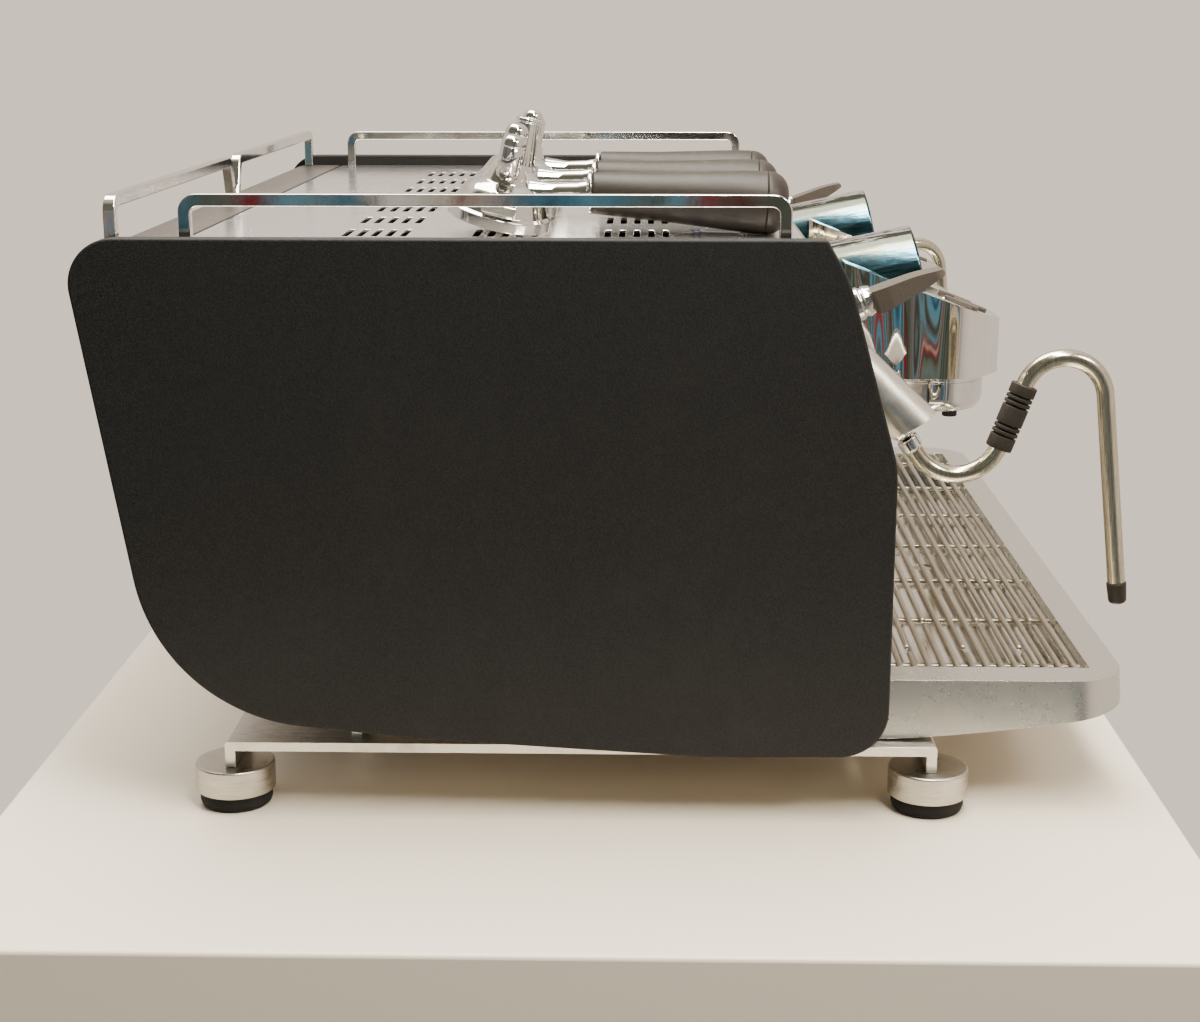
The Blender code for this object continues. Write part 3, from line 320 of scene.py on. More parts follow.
def handMarksEffect():
    group, start, end = newEffect(
        "handMarks",
        [("Scale", "NodeSocketFloat", 14.0), ("Amount", "NodeSocketFloat", 1.0)],
        [("Mask", "NodeSocketFloat")],
    )
    place = addNode(group, "ShaderNodeTexCoord").outputs["Object"]
    broad = addNode(group, "ShaderNodeTexNoise", None, {
        "Vector": place, "Scale": start.outputs["Scale"], "Detail": 5.0, "Roughness": 0.62,
        "Distortion": 0.8,
    }).outputs["Fac"]
    fine = addNode(group, "ShaderNodeTexNoise", None, {
        "Vector": place, "Scale": combine(group, "MULTIPLY", start.outputs["Scale"], 9.0), "Detail": 3.0,
    }).outputs["Fac"]
    mask = combine(group, "MULTIPLY", mapRange(group, broad, 0.45, 0.72), mapRange(group, fine, 0.3, 0.7))
    group.links.new(combine(group, "MULTIPLY", mask, start.outputs["Amount"]), end.inputs["Mask"])
    return group


def brushLinesEffect():
    group, start, end = newEffect(
        "brushLines",
        [("Stretch", "NodeSocketVector", (1.0, 1.0, 1.0)), ("Scale", "NodeSocketFloat", 400.0)],
        [("Lines", "NodeSocketFloat")],
    )
    place = addNode(group, "ShaderNodeTexCoord").outputs["Object"]
    pulled = addNode(group, "ShaderNodeVectorMath", {"operation": "MULTIPLY"}, {
        0: place, 1: start.outputs["Stretch"],
    }).outputs[0]
    lines = addNode(group, "ShaderNodeTexNoise", None, {
        "Vector": pulled, "Scale": start.outputs["Scale"], "Detail": 3.0, "Roughness": 0.7,
    }).outputs["Fac"]
    group.links.new(lines, end.inputs["Lines"])
    return group


def edgeWearEffect():
    group, start, end = newEffect(
        "edgeWear",
        [("Start", "NodeSocketFloat", 0.54), ("Amount", "NodeSocketFloat", 1.0)],
        [("Mask", "NodeSocketFloat")],
    )
    geometry = addNode(group, "ShaderNodeNewGeometry")
    place = addNode(group, "ShaderNodeTexCoord").outputs["Object"]
    edge = addNode(group, "ShaderNodeMapRange", None, {
        "Value": geometry.outputs["Pointiness"], "From Min": start.outputs["Start"], "From Max": 0.62,
    }).outputs["Result"]
    broken = addNode(group, "ShaderNodeTexNoise", None, {
        "Vector": place, "Scale": 90.0, "Detail": 4.0,
    }).outputs["Fac"]
    mask = combine(group, "MULTIPLY", edge, mapRange(group, broken, 0.35, 0.6))
    group.links.new(combine(group, "MULTIPLY", mask, start.outputs["Amount"]), end.inputs["Mask"])
    return group


def settledDustEffect():
    group, start, end = newEffect(
        "settledDust",
        [("Amount", "NodeSocketFloat", 0.5)],
        [("Mask", "NodeSocketFloat")],
    )
    geometry = addNode(group, "ShaderNodeNewGeometry")
    place = addNode(group, "ShaderNodeTexCoord").outputs["Object"]
    facing = addNode(group, "ShaderNodeSeparateXYZ", None, {0: geometry.outputs["Normal"]}).outputs["Z"]
    specks = addNode(group, "ShaderNodeTexNoise", None, {
        "Vector": place, "Scale": 160.0, "Detail": 6.0, "Roughness": 0.75,
    }).outputs["Fac"]
    mask = combine(group, "MULTIPLY", mapRange(group, facing, 0.55, 1.0), mapRange(group, specks, 0.5, 0.72))
    group.links.new(combine(group, "MULTIPLY", mask, start.outputs["Amount"]), end.inputs["Mask"])
    return group


def filmCreasesEffect():
    group, start, end = newEffect(
        "filmCreases",
        [("Stretch", "NodeSocketVector", (6.0, 14.0, 6.0)), ("Depth", "NodeSocketFloat", 1.0)],
        [("Height", "NodeSocketFloat"), ("Line", "NodeSocketFloat")],
    )
    place = addNode(group, "ShaderNodeTexCoord").outputs["Object"]
    wander = addNode(group, "ShaderNodeTexNoise", None, {
        "Vector": place, "Scale": 9.0, "Detail": 3.0,
    }).outputs["Color"]
    bent = addNode(group, "ShaderNodeVectorMath", {"operation": "MULTIPLY_ADD"}, {
        0: wander, 1: (0.09, 0.09, 0.09), 2: place,
    }).outputs[0]
    pulled = addNode(group, "ShaderNodeVectorMath", {"operation": "MULTIPLY"}, {
        0: bent, 1: start.outputs["Stretch"],
    }).outputs[0]
    web = addNode(group, "ShaderNodeTexVoronoi", {"feature": "DISTANCE_TO_EDGE"}, {
        "Vector": pulled, "Scale": 1.0,
    }).outputs["Distance"]
    patches = addNode(group, "ShaderNodeTexNoise", None, {
        "Vector": place, "Scale": 7.0, "Detail": 2.0,
    }).outputs["Fac"]
    line = combine(group, "MULTIPLY", mapRange(group, web, 0.035, 0.0), mapRange(group, patches, 0.5, 0.6))
    ripples = addNode(group, "ShaderNodeTexNoise", None, {
        "Vector": pulled, "Scale": 3.0, "Detail": 4.0, "Roughness": 0.55,
    }).outputs["Fac"]
    height = combine(group, "ADD", combine(group, "MULTIPLY", line, 0.6), ripples)
    group.links.new(combine(group, "MULTIPLY", height, start.outputs["Depth"]), end.inputs["Height"])
    group.links.new(line, end.inputs["Line"])
    return group


powderGrain = powderGrainEffect()
handMarks = handMarksEffect()
brushLines = brushLinesEffect()
edgeWear = edgeWearEffect()
settledDust = settledDustEffect()
filmCreases = filmCreasesEffect()


def newFinish(name, metallic, **constants):
    material = bpy.data.materials.new(name)
    material.use_nodes = True
    tree = material.node_tree
    shader = tree.nodes["Principled BSDF"]
    shader.inputs["Metallic"].default_value = metallic
    for label, value in constants.items():
        shader.inputs[label.replace("_", " ")].default_value = value
    return material, tree, shader


def bumpInto(tree, shader, height, distance, strength=1.0):
    bump = addNode(tree, "ShaderNodeBump", None, {
        "Height": height, "Distance": distance, "Strength": strength,
    })
    tree.links.new(bump.outputs["Normal"], shader.inputs["Normal"])


def paintedFinish(name, look):
    # powder coat, rubber or moulded plastic: grain, marks, worn edges and dust
    material, tree, shader = newFinish(name, 0.0, IOR=look.get("ior", 1.45))
    grain = useEffect(tree, powderGrain, {"Scale": look["grain"]})
    marks = useEffect(tree, handMarks, {"Scale": look["marks"], "Amount": look["markAmount"]}).outputs["Mask"]
    worn = useEffect(tree, edgeWear, {"Start": look.get("wearStart", 0.53), "Amount": look["wear"]}).outputs["Mask"]
    dust = useEffect(tree, settledDust, {"Amount": look["dust"]}).outputs["Mask"]
    tone = mixColour(tree, grain.outputs["Speck"], look["dark"], look["light"])
    tone = mixColour(tree, marks, tone, look["markTone"])
    tone = mixColour(tree, worn, tone, look["wornTone"])
    tone = mixColour(tree, dust, tone, (0.36, 0.34, 0.31))
    tree.links.new(tone, shader.inputs["Base Color"])
    gloss = mapRange(tree, grain.outputs["Speck"], 0.0, 1.0, look["rough"][0], look["rough"][1])
    gloss = combine(tree, "SUBTRACT", gloss, combine(tree, "MULTIPLY", marks, look["markGloss"]))
    tree.links.new(gloss, shader.inputs["Roughness"])
    bumpInto(tree, shader, grain.outputs["Height"], look["bump"])
    return material


def metalFinish(name, look):
    # polished or brushed metal: drawn lines, finger marks, a little dust
    material, tree, shader = newFinish(name, 1.0)
    lines = useEffect(tree, brushLines, {"Stretch": look["stretch"], "Scale": look["scale"]}).outputs["Lines"]
    marks = useEffect(tree, handMarks, {"Scale": look["marks"], "Amount": look["markAmount"]}).outputs["Mask"]
    dust = useEffect(tree, settledDust, {"Amount": look["dust"]}).outputs["Mask"]
    tone = mixColour(tree, mapRange(tree, lines, 0.3, 0.7), look["dark"], look["light"])
    tone = mixColour(tree, marks, tone, look["markTone"])
    tree.links.new(tone, shader.inputs["Base Color"])
    gloss = mapRange(tree, lines, 0.3, 0.7, look["rough"][0], look["rough"][1])
    gloss = combine(tree, "ADD", gloss, combine(tree, "MULTIPLY", marks, look["markRough"]))
    gloss = combine(tree, "ADD", gloss, combine(tree, "MULTIPLY", dust, 0.25))
    tree.links.new(gloss, shader.inputs["Roughness"])
    bumpInto(tree, shader, lines, look["bump"])
    return material


panelPowder = paintedFinish("panelPowder", {
    "dark": (0.0190, 0.0190, 0.0188), "light": (0.0400, 0.0395, 0.0385), "grain": 1100.0,
    "marks": 6.0, "markAmount": 0.45, "markTone": (0.046, 0.045, 0.044), "markGloss": 0.10,
    "wear": 0.30, "wornTone": (0.05, 0.048, 0.045), "dust": 0.06,
    "rough": (0.52, 0.68), "bump": 0.00022,
})
# dark paint whose warm grey-brown tone is partly a painted sheen of ceiling light glancing off it
ledgeSatinPaintedSheen = paintedFinish("ledgeSatinPaintedSheen", {
    "dark": (0.075, 0.068, 0.060), "light": (0.115, 0.104, 0.092), "grain": 1500.0,
    "marks": 9.0, "markAmount": 0.3, "markTone": (0.14, 0.13, 0.115), "markGloss": 0.08,
    "wear": 0.3, "wornTone": (0.2, 0.19, 0.17), "dust": 0.2,
    "rough": (0.26, 0.38), "bump": 0.0001,
})
handleSatin = paintedFinish("handleSatin", {
    "dark": (0.040, 0.034, 0.027), "light": (0.062, 0.053, 0.043), "grain": 1700.0,
    "marks": 30.0, "markAmount": 0.35, "markTone": (0.075, 0.066, 0.054), "markGloss": 0.12,
    "wear": 0.25, "wornTone": (0.10, 0.092, 0.080), "dust": 0.12,
    "rough": (0.36, 0.48), "bump": 0.00008,
})
# painted sheen: a lighter copy of the handles' dark satin, its tone raised to stand in for the ceiling's reflection on
# the lever tops; the buttons share it
leverSatinPaintedSheen = paintedFinish("leverSatinPaintedSheen", {
    "dark": (0.110, 0.094, 0.077), "light": (0.160, 0.140, 0.118), "grain": 1700.0,
    "marks": 30.0, "markAmount": 0.35, "markTone": (0.085, 0.075, 0.062), "markGloss": 0.12,
    "wear": 0.25, "wornTone": (0.12, 0.11, 0.095), "dust": 0.15,
    "rough": (0.33, 0.46), "bump": 0.0001,
})
ribRubber = paintedFinish("ribRubber", {
    "dark": (0.038, 0.032, 0.026), "light": (0.066, 0.057, 0.047), "grain": 2100.0,
    "marks": 60.0, "markAmount": 0.5, "markTone": (0.075, 0.066, 0.055), "markGloss": 0.05,
    "wear": 0.3, "wornTone": (0.10, 0.09, 0.078), "dust": 0.3,
    "rough": (0.55, 0.72), "bump": 0.00014,
})
padRubber = paintedFinish("padRubber", {
    "dark": (0.012, 0.012, 0.012), "light": (0.024, 0.023, 0.022), "grain": 1300.0,
    "marks": 30.0, "markAmount": 0.6, "markTone": (0.06, 0.055, 0.05), "markGloss": 0.0,
    "wear": 0.3, "wornTone": (0.08, 0.075, 0.07), "dust": 0.3,
    "rough": (0.6, 0.8), "bump": 0.0002,
})
boilerJacket = paintedFinish("boilerJacket", {
    "dark": (0.02, 0.02, 0.02), "light": (0.05, 0.05, 0.05), "grain": 300.0,
    "marks": 12.0, "markAmount": 0.4, "markTone": (0.09, 0.09, 0.09), "markGloss": 0.0,
    "wear": 0.3, "wornTone": (0.12, 0.12, 0.12), "dust": 0.4,
    "rough": (0.7, 0.9), "bump": 0.0006,
})
chromeBright = metalFinish("chromeBright", {
    "dark": (0.74, 0.73, 0.70), "light": (0.86, 0.85, 0.82), "stretch": (1, 1, 1), "scale": 60.0,
    "marks": 22.0, "markAmount": 0.5, "markTone": (0.70, 0.67, 0.61), "markRough": 0.10,
    "dust": 0.15, "rough": (0.035, 0.075), "bump": 0.00002,
})
wandSteel = metalFinish("wandSteel", {
    "dark": (0.58, 0.53, 0.42), "light": (0.76, 0.71, 0.58), "stretch": (1, 1, 0.06), "scale": 700.0,
    "marks": 40.0, "markAmount": 0.6, "markTone": (0.55, 0.50, 0.40), "markRough": 0.12,
    "dust": 0.1, "rough": (0.16, 0.24), "bump": 0.00001,
})
plateSteel = metalFinish("plateSteel", {
    "dark": (0.72, 0.70, 0.66), "light": (0.84, 0.82, 0.77), "stretch": (1, 0.03, 1), "scale": 500.0,
    "marks": 16.0, "markAmount": 0.6, "markTone": (0.55, 0.52, 0.46), "markRough": 0.15,
    "dust": 0.15, "rough": (0.24, 0.36), "bump": 0.00001,
})
turnedSteel = metalFinish("turnedSteel", {
    "dark": (0.50, 0.48, 0.43), "light": (0.66, 0.63, 0.58), "stretch": (0.05, 0.05, 1), "scale": 900.0,
    "marks": 30.0, "markAmount": 0.5, "markTone": (0.48, 0.45, 0.39), "markRough": 0.12,
    "dust": 0.2, "rough": (0.24, 0.36), "bump": 0.00005,
})
valveSatin = metalFinish("valveSatin", {
    "dark": (0.80, 0.77, 0.70), "light": (0.90, 0.87, 0.80), "stretch": (1, 0.2, 0.2), "scale": 400.0,
    "marks": 26.0, "markAmount": 0.4, "markTone": (0.74, 0.71, 0.63), "markRough": 0.10,
    "dust": 0.1, "rough": (0.26, 0.34), "bump": 0.00001,
})
rodSteel = metalFinish("rodSteel", {
    "dark": (0.46, 0.42, 0.35), "light": (0.56, 0.52, 0.44), "stretch": (0.04, 1, 1), "scale": 200.0,
    "marks": 35.0, "markAmount": 0.5, "markTone": (0.47, 0.43, 0.36), "markRough": 0.12,
    "dust": 0.1, "rough": (0.30, 0.38), "bump": 0.000002,
})
panSteel = metalFinish("panSteel", {
    "dark": (0.80, 0.78, 0.74), "light": (0.88, 0.86, 0.82), "stretch": (0.2, 0.2, 1), "scale": 90.0,
    "marks": 12.0, "markAmount": 0.4, "markTone": (0.72, 0.70, 0.65), "markRough": 0.15,
    "dust": 0.05, "rough": (0.07, 0.13), "bump": 0.000004,
})
castAluminium = metalFinish("castAluminium", {
    "dark": (0.42, 0.42, 0.42), "light": (0.56, 0.56, 0.57), "stretch": (1, 1, 1), "scale": 500.0,
    "marks": 20.0, "markAmount": 0.5, "markTone": (0.35, 0.34, 0.33), "markRough": 0.1,
    "dust": 0.4, "rough": (0.4, 0.6), "bump": 0.0003,
})


def filmedMirrorFinish():
    # mirror steel under its wrinkled protective film, with faint blue-grey creases
    material, tree, shader = newFinish("filmedMirror", 0.75, Coat_Weight=0.35, Coat_Roughness=0.15)
    creases = useEffect(tree, filmCreases, {"Stretch": (5.0, 26.0, 5.0), "Depth": 1.0})
    marks = useEffect(tree, handMarks, {"Scale": 9.0, "Amount": 0.3}).outputs["Mask"]
    tone = mixColour(tree, creases.outputs["Line"], (0.70, 0.68, 0.66), (0.40, 0.45, 0.58))
    tone = mixColour(tree, marks, tone, (0.70, 0.69, 0.69))
    # two strokes of a blue pen on the film
    place = addNode(tree, "ShaderNodeSeparateXYZ", None, {
        0: addNode(tree, "ShaderNodeTexCoord").outputs["Object"],
    })
    wobble = addNode(tree, "ShaderNodeTexNoise", None, {"Scale": 40.0, "Detail": 2.0}).outputs["Fac"]
    along = combine(tree, "ADD", place.outputs["Y"], mapRange(tree, wobble, 0.3, 0.7, -0.0012, 0.0012))
    strokes = None
    for y in (-0.0490, -0.0535):
        stroke = mapRange(tree, combine(tree, "ABSOLUTE", combine(tree, "SUBTRACT", along, y), 0.0), 0.0011, 0.0006)
        strokes = stroke if strokes is None else combine(tree, "MAXIMUM", strokes, stroke)
    ends = combine(tree, "ABSOLUTE", combine(tree, "ADD", place.outputs["X"], 0.285), 0.0)
    strokes = combine(tree, "MULTIPLY", strokes, mapRange(tree, ends, 0.050, 0.040))
    tone = mixColour(tree, strokes, tone, (0.05, 0.13, 0.42))
    tree.links.new(tone, shader.inputs["Base Color"])
    gloss = mapRange(tree, marks, 0.0, 1.0, 0.16, 0.32)
    gloss = combine(tree, "ADD", gloss, combine(tree, "MULTIPLY", creases.outputs["Line"], 0.2))
    tree.links.new(gloss, shader.inputs["Roughness"])
    bumpInto(tree, shader, creases.outputs["Height"], 0.0006, 0.55)
    return material


def drumChromeFinish():
    # chrome with a bluish film over all but the top of the drum, in fine lengthwise wrinkles; the split is set by which
    # way the surface faces, so the film band is partly a real tint and partly a painted reflection, with an olive
    # painted reflection of the hall below the top
    material, tree, shader = newFinish("drumChrome", 1.0)
    axisTilt = math.radians(12)
    place = addNode(tree, "ShaderNodeTexCoord").outputs["Object"]
    laid = addNode(tree, "ShaderNodeMapping", {"vector_type": "POINT"}, {
        "Vector": place, "Rotation": (axisTilt, 0, 0),
    }).outputs["Vector"]
    pulled = addNode(tree, "ShaderNodeVectorMath", {"operation": "MULTIPLY"}, {
        0: laid, 1: (60.0, 9.0, 60.0),
    }).outputs[0]
    wrinkles = addNode(tree, "ShaderNodeTexNoise", None, {
        "Vector": pulled, "Scale": 6.0, "Detail": 4.0, "Roughness": 0.6,
    }).outputs["Fac"]
    normal = addNode(tree, "ShaderNodeNewGeometry").outputs["Normal"]
    height = addNode(tree, "ShaderNodeSeparateXYZ", None, {0: normal}).outputs["Z"]
    ragged = combine(tree, "ADD", height, mapRange(tree, wrinkles, 0.3, 0.7, -0.08, 0.08))
    # film band: partly a real film tint, partly a painted reflection, placed by which way the surface faces
    filmAndReflectionBand = mapRange(tree, ragged, 0.97, 0.93)
    blue = mixColour(tree, mapRange(tree, wrinkles, 0.35, 0.7), (0.055, 0.125, 0.160), (0.17, 0.31, 0.37))
    # painted reflection: the hall's olive band, a little below the bare top, set by which way the surface faces
    paintedHallReflection = mapRange(tree, ragged, 0.55, 0.72)
    blue = mixColour(tree, paintedHallReflection, blue, (0.10, 0.105, 0.085))
    tone = mixColour(tree, filmAndReflectionBand, (0.84, 0.83, 0.80), blue)
    tree.links.new(tone, shader.inputs["Base Color"])
    gloss = mapRange(tree, filmAndReflectionBand, 0.0, 1.0, 0.06, 0.13)
    tree.links.new(gloss, shader.inputs["Roughness"])
    bumpInto(tree, shader, wrinkles, 0.0003, 0.5)
    return material


def lensFinish():
    # black gloss lens with a faint haze of fingerprints
    material, tree, shader = newFinish("lensGloss", 0.0, IOR=1.5, Coat_Weight=0.6, Coat_Roughness=0.04)
    marks = useEffect(tree, handMarks, {"Scale": 60.0, "Amount": 0.6}).outputs["Mask"]
    tone = mixColour(tree, marks, (0.006, 0.006, 0.007), (0.03, 0.03, 0.03))
    tree.links.new(tone, shader.inputs["Base Color"])
    tree.links.new(mapRange(tree, marks, 0.0, 1.0, 0.06, 0.22), shader.inputs["Roughness"])
    return material


def wavyChromeFinish(name, waves):
    # polished sheet that is not quite flat, so reflections run in streaks
    material, tree, shader = newFinish(name, 1.0)
    place = addNode(tree, "ShaderNodeTexCoord").outputs["Object"]
    pulled = addNode(tree, "ShaderNodeVectorMath", {"operation": "MULTIPLY"}, {0: place, 1: waves["stretch"]}).outputs[0]
    ripples = addNode(tree, "ShaderNodeTexNoise", None, {
        "Vector": pulled, "Scale": waves["scale"], "Detail": 2.0, "Roughness": 0.45,
    }).outputs["Fac"]
    marks = useEffect(tree, handMarks, {"Scale": 24.0, "Amount": 0.5}).outputs["Mask"]
    tone = mixColour(tree, marks, waves["tone"], waves["markTone"])
    tree.links.new(tone, shader.inputs["Base Color"])
    tree.links.new(mapRange(tree, marks, 0.0, 1.0, waves["rough"], waves["rough"] + 0.12), shader.inputs["Roughness"])
    bumpInto(tree, shader, ripples, waves["height"])
    return material


coverChrome = wavyChromeFinish("coverChrome", {
    "stretch": (1.0, 1.0, 0.12), "scale": 17.0, "height": 0.0065, "rough": 0.03,
    "tone": (0.84, 0.83, 0.79), "markTone": (0.74, 0.72, 0.66),
})
rimChrome = wavyChromeFinish("rimChrome", {
    "stretch": (1.0, 1.0, 1.0), "scale": 7.0, "height": 0.0006, "rough": 0.27,
    "tone": (0.78, 0.77, 0.72), "markTone": (0.66, 0.64, 0.57),
})
filmedMirror = filmedMirrorFinish()
drumChrome = drumChromeFinish()
lensGloss = lensFinish()
print("finishes made")


# side panels

sidePanel = {
    "corners": [
        (0.3540, 0.3885, 0.030), (0.3035, 0.0745, 0.120), (0.1315, 0.0568, 0.600),
        (-0.0585, 0.0455, 0.600), (-0.1785, 0.0465, 0.032), (-0.1785, 0.2430, 0.080),
        (-0.1450, 0.3625, 0.120), (-0.1295, 0.3885, 0.003),
    ],
    "edge": 0.0016,
}


def makeSidePanels():
    outline = roundOff(sidePanel["corners"], step=2.5)
    for side in sides:
        low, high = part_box(f"side_panel_{side}")
        panel = cutPlate(
            f"panel_{side}", outline, lambda y, z: Vector((low.x, y, z)), across * (high.x - low.x),
        )
        softenEdges(panel, sidePanel["edge"], 4, 40)
        fit(panel, "machine", "panel_black", panelPowder, f"side_panel_{side}")


makeSidePanels()
print("side panels done")


# sheets, skids and the parts inside, from their CAD solids with rounded edges

plainParts = {
    # the rear cover's finish carries a painted sheen in its tone
    "rear_cover": ("cover_black", ledgeSatinPaintedSheen, 0.0004),
    "front_panel": ("brushed_steel", plateSteel, 0.0),
    "chassis_pan": ("brushed_steel", plateSteel, 0.0004),
    "drip_pan": ("polished_steel", panSteel, 0.0),
    "base_skid_left": ("polished_steel", plateSteel, 0.0004),
    "base_skid_right": ("polished_steel", plateSteel, 0.0004),
    "brew_boiler_left": ("brushed_steel", turnedSteel, 0.0),
    "brew_boiler_right": ("brushed_steel", turnedSteel, 0.0),
    "steam_boiler": ("boiler_jacket", boilerJacket, 0.0),
    "pump_motor": ("cast_aluminium", castAluminium, 0.0),
}


def makePlainParts():
    for node, (slot, material, edge) in plainParts.items():
        piece = fromNode(node, node.replace("_", "-") + "-finished")
        if edge:
            softenEdges(piece, edge, 2, 40)
        else:
            smoothRound(piece, 35)
        fit(piece, "machine", slot, material, node)


tray = {
    "slot": (0.045, 0.0045), "pitch": 0.010, "inCluster": 5,
    "clusters": 7, "spacing": 0.090, "columns": (-0.010, 0.080, 0.170),
}


def makeCupTray():
    # a sheet with its clusters of slots cut through at once
    low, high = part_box("cup_tray")
    middle = (low + high) / 2
    sheet = block("cup-tray", high - low, middle)
    width, depth = tray["slot"]
    cutter = roundOff([
        (-width / 2, -depth / 2, 0.0008), (width / 2, -depth / 2, 0.0008),
        (width / 2, depth / 2, 0.0008), (-width / 2, depth / 2, 0.0008),
    ], step=30)
    slots = []
    for cluster in range(tray["clusters"]):
        x = (cluster - (tray["clusters"] - 1) / 2) * tray["spacing"]
        for column in tray["columns"]:
            for k in range(tray["inCluster"]):
                y = column + (k - (tray["inCluster"] - 1) / 2) * tray["pitch"]
                slots.append(cutPlate(
                    f"slot-{len(slots)}", cutter, lambda a, b: Vector((x + a, y + b, low.z - 0.002)),
                    Vector((0, 0, high.z - low.z + 0.004)),
                ))
    carve(sheet, joinUp(slots, "slots"))
    softenEdges(sheet, 0.00025, 1, 40)
    fit(sheet, "machine", "mirror_steel", filmedMirror, "cup_tray")


makePlainParts()
makeCupTray()
print("sheets and inner parts done")


# rails of square bar

rails = {"bar": 0.008, "bend": 0.012, "lean": 0.014, "edge": 0.0009}


def archOutline(start, end, foot, top, lean):
    # an inverted U: out over the top, back along the underside
    bar = rails["bar"]
    under = top - bar
    inner = rails["bend"] - bar + 0.001
    leanUnder = lean * (under - foot) / (top - foot)
    return roundOff([
        (start, foot, 0), (start + lean, top, rails["bend"]), (end, top, rails["bend"]), (end, foot, 0),
        (end - bar, foot, 0), (end - bar, under, inner),
        (start + bar + leanUnder, under, inner), (start + bar, foot, 0),
    ], step=7)


def makeRails():
    for side, sign in sides.items():
        low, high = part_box(f"side_rail_{side}")
        rail = cutPlate(
            f"rail_{side}", archOutline(low.y, high.y, low.z, high.z, 0),
            lambda y, z: Vector((low.x, y, z)), across * (high.x - low.x),
        )
        softenEdges(rail, rails["edge"], 3, 50)
        fit(rail, "machine", "chrome", chromeBright, f"side_rail_{side}")
        low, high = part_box(f"rear_rail_{side}")
        inner = min(abs(low.x), abs(high.x))
        outer = max(abs(low.x), abs(high.x))
        rail = cutPlate(
            f"rear-rail_{side}", archOutline(inner, outer, low.z, high.z, rails["lean"]),
            lambda x, z: Vector((sign * x, low.y, z)), Vector((0, high.y - low.y, 0)),
        )
        softenEdges(rail, rails["edge"], 3, 50)
        fit(rail, "machine", "chrome", chromeBright, f"rear_rail_{side}")


makeRails()
print("rails done")


# feet

foot = {"edge": 0.0014, "stud": 0.0022, "studHeight": 0.010}


def makeFeet():
    for side in sides:
        for end in ("front", "rear"):
            low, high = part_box(f"foot_cup_{end}_{side}")
            centre = Vector(((low.x + high.x) / 2, (low.y + high.y) / 2, 0))
            radius = (high.x - low.x) / 2
            topZ = high.z - foot["studHeight"]
            edge = foot["edge"]
            cup = roundOff([
                (0, high.z, 0), (foot["stud"], high.z, 0), (foot["stud"], topZ, 0),
                (radius, topZ, edge), (radius, low.z, edge), (radius - 0.004, low.z, 0.0004),
                (radius - 0.004, low.z + 0.002, 0), (0, low.z + 0.002, 0),
            ], closed=False, step=12)
            body = f"foot_{end}_{side}"
            piece = turnSmooth(f"foot-cup-{end}-{side}", cup, centre, steps=72, limit=30)
            fit(piece, body, "brushed_steel", turnedSteel, f"foot_cup_{end}_{side}")
            low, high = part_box(f"foot_pad_{end}_{side}")
            radius = (high.x - low.x) / 2
            pad = roundOff([
                (0, high.z, 0), (radius, high.z, 0.0004), (radius, 0.004, 0.0005),
                (radius - 0.0008, 0.0035, 0.0005), (radius - 0.0008, 0.0015, 0.0012),
                (radius - 0.003, 0, 0), (0, 0, 0),
            ], closed=False, step=15)
            piece = turnSmooth(f"foot-pad-{end}-{side}", pad, centre, steps=72, limit=30)
            fit(piece, body, "rubber", padRubber, f"foot_pad_{end}_{side}")


makeFeet()
print("feet done")


# drip tray: rim and grille

dripRim = {
    "corner": 0.040, "edge": 0.0011, "skirtRear": 0.0495, "skirtFront": 0.0680, "lean": 0.0029,
}


def makeDripRim():
    low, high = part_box("drip_rim")
    panLow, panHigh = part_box("drip_pan")
    corner = dripRim["corner"]
    plan = roundOff([
        (low.x, high.y, 0), (low.x, low.y, corner), (high.x, low.y, corner), (high.x, high.y, 0),
    ], step=4)
    rim = cutPlate("drip-rim", plan, lambda x, y: Vector((x, y, high.z)), Vector((0, 0, low.z - high.z)))
    # the skirt leans outwards a little at its foot
    pick(rim)
    bpy.ops.object.mode_set(mode="EDIT")
    bpy.ops.mesh.select_all(action="DESELECT")
    bpy.ops.object.mode_set(mode="OBJECT")
    for vertex in rim.data.vertices:
        vertex.select = vertex.co.z < (low.z + high.z) / 2
    bpy.ops.object.mode_set(mode="EDIT")
    bpy.ops.transform.resize(
        value=(1 + dripRim["lean"] / high.x, 1 + dripRim["lean"] / (high.y - low.y), 1),
        center_override=(0, high.y, low.z),
    )
    bpy.ops.object.mode_set(mode="OBJECT")
    gap = 0.0004
    opening = block("opening", (
        panHigh.x - panLow.x + 2 * gap, panHigh.y - panLow.y + 2 * gap, 0.2,
    ), ((low.x + high.x) / 2, (panLow.y + panHigh.y) / 2, high.z))
    carve(rim, opening)
    depth = high.y - low.y
    rise = dripRim["skirtFront"] - dripRim["skirtRear"]
    steps = 24
    under = [
        (high.y - depth * k / steps, dripRim["skirtRear"] + rise * (k / steps) ** 1.5) for k in range(steps + 1)
    ]
    far = 0.05
    below = [(high.y + far, under[0][1])] + under
    below += [(low.y - far, under[-1][1]), (low.y - far, 0), (high.y + far, 0)]
    carve(rim, cutPlate("below", below, lambda y, z: Vector((low.x - far, y, z)), across * (high.x - low.x + 2 * far)))
    softenEdges(rim, dripRim["edge"], 3, 40)
    fit(rim, "machine", "chrome", rimChrome, "drip_rim")


grille = {
    "rod": 0.0042, "pitch": 0.010, "bar": (0.005, 0.003), "bars": 7,
    "breaks": (-0.235, -0.300), "breakGap": 0.012,
}


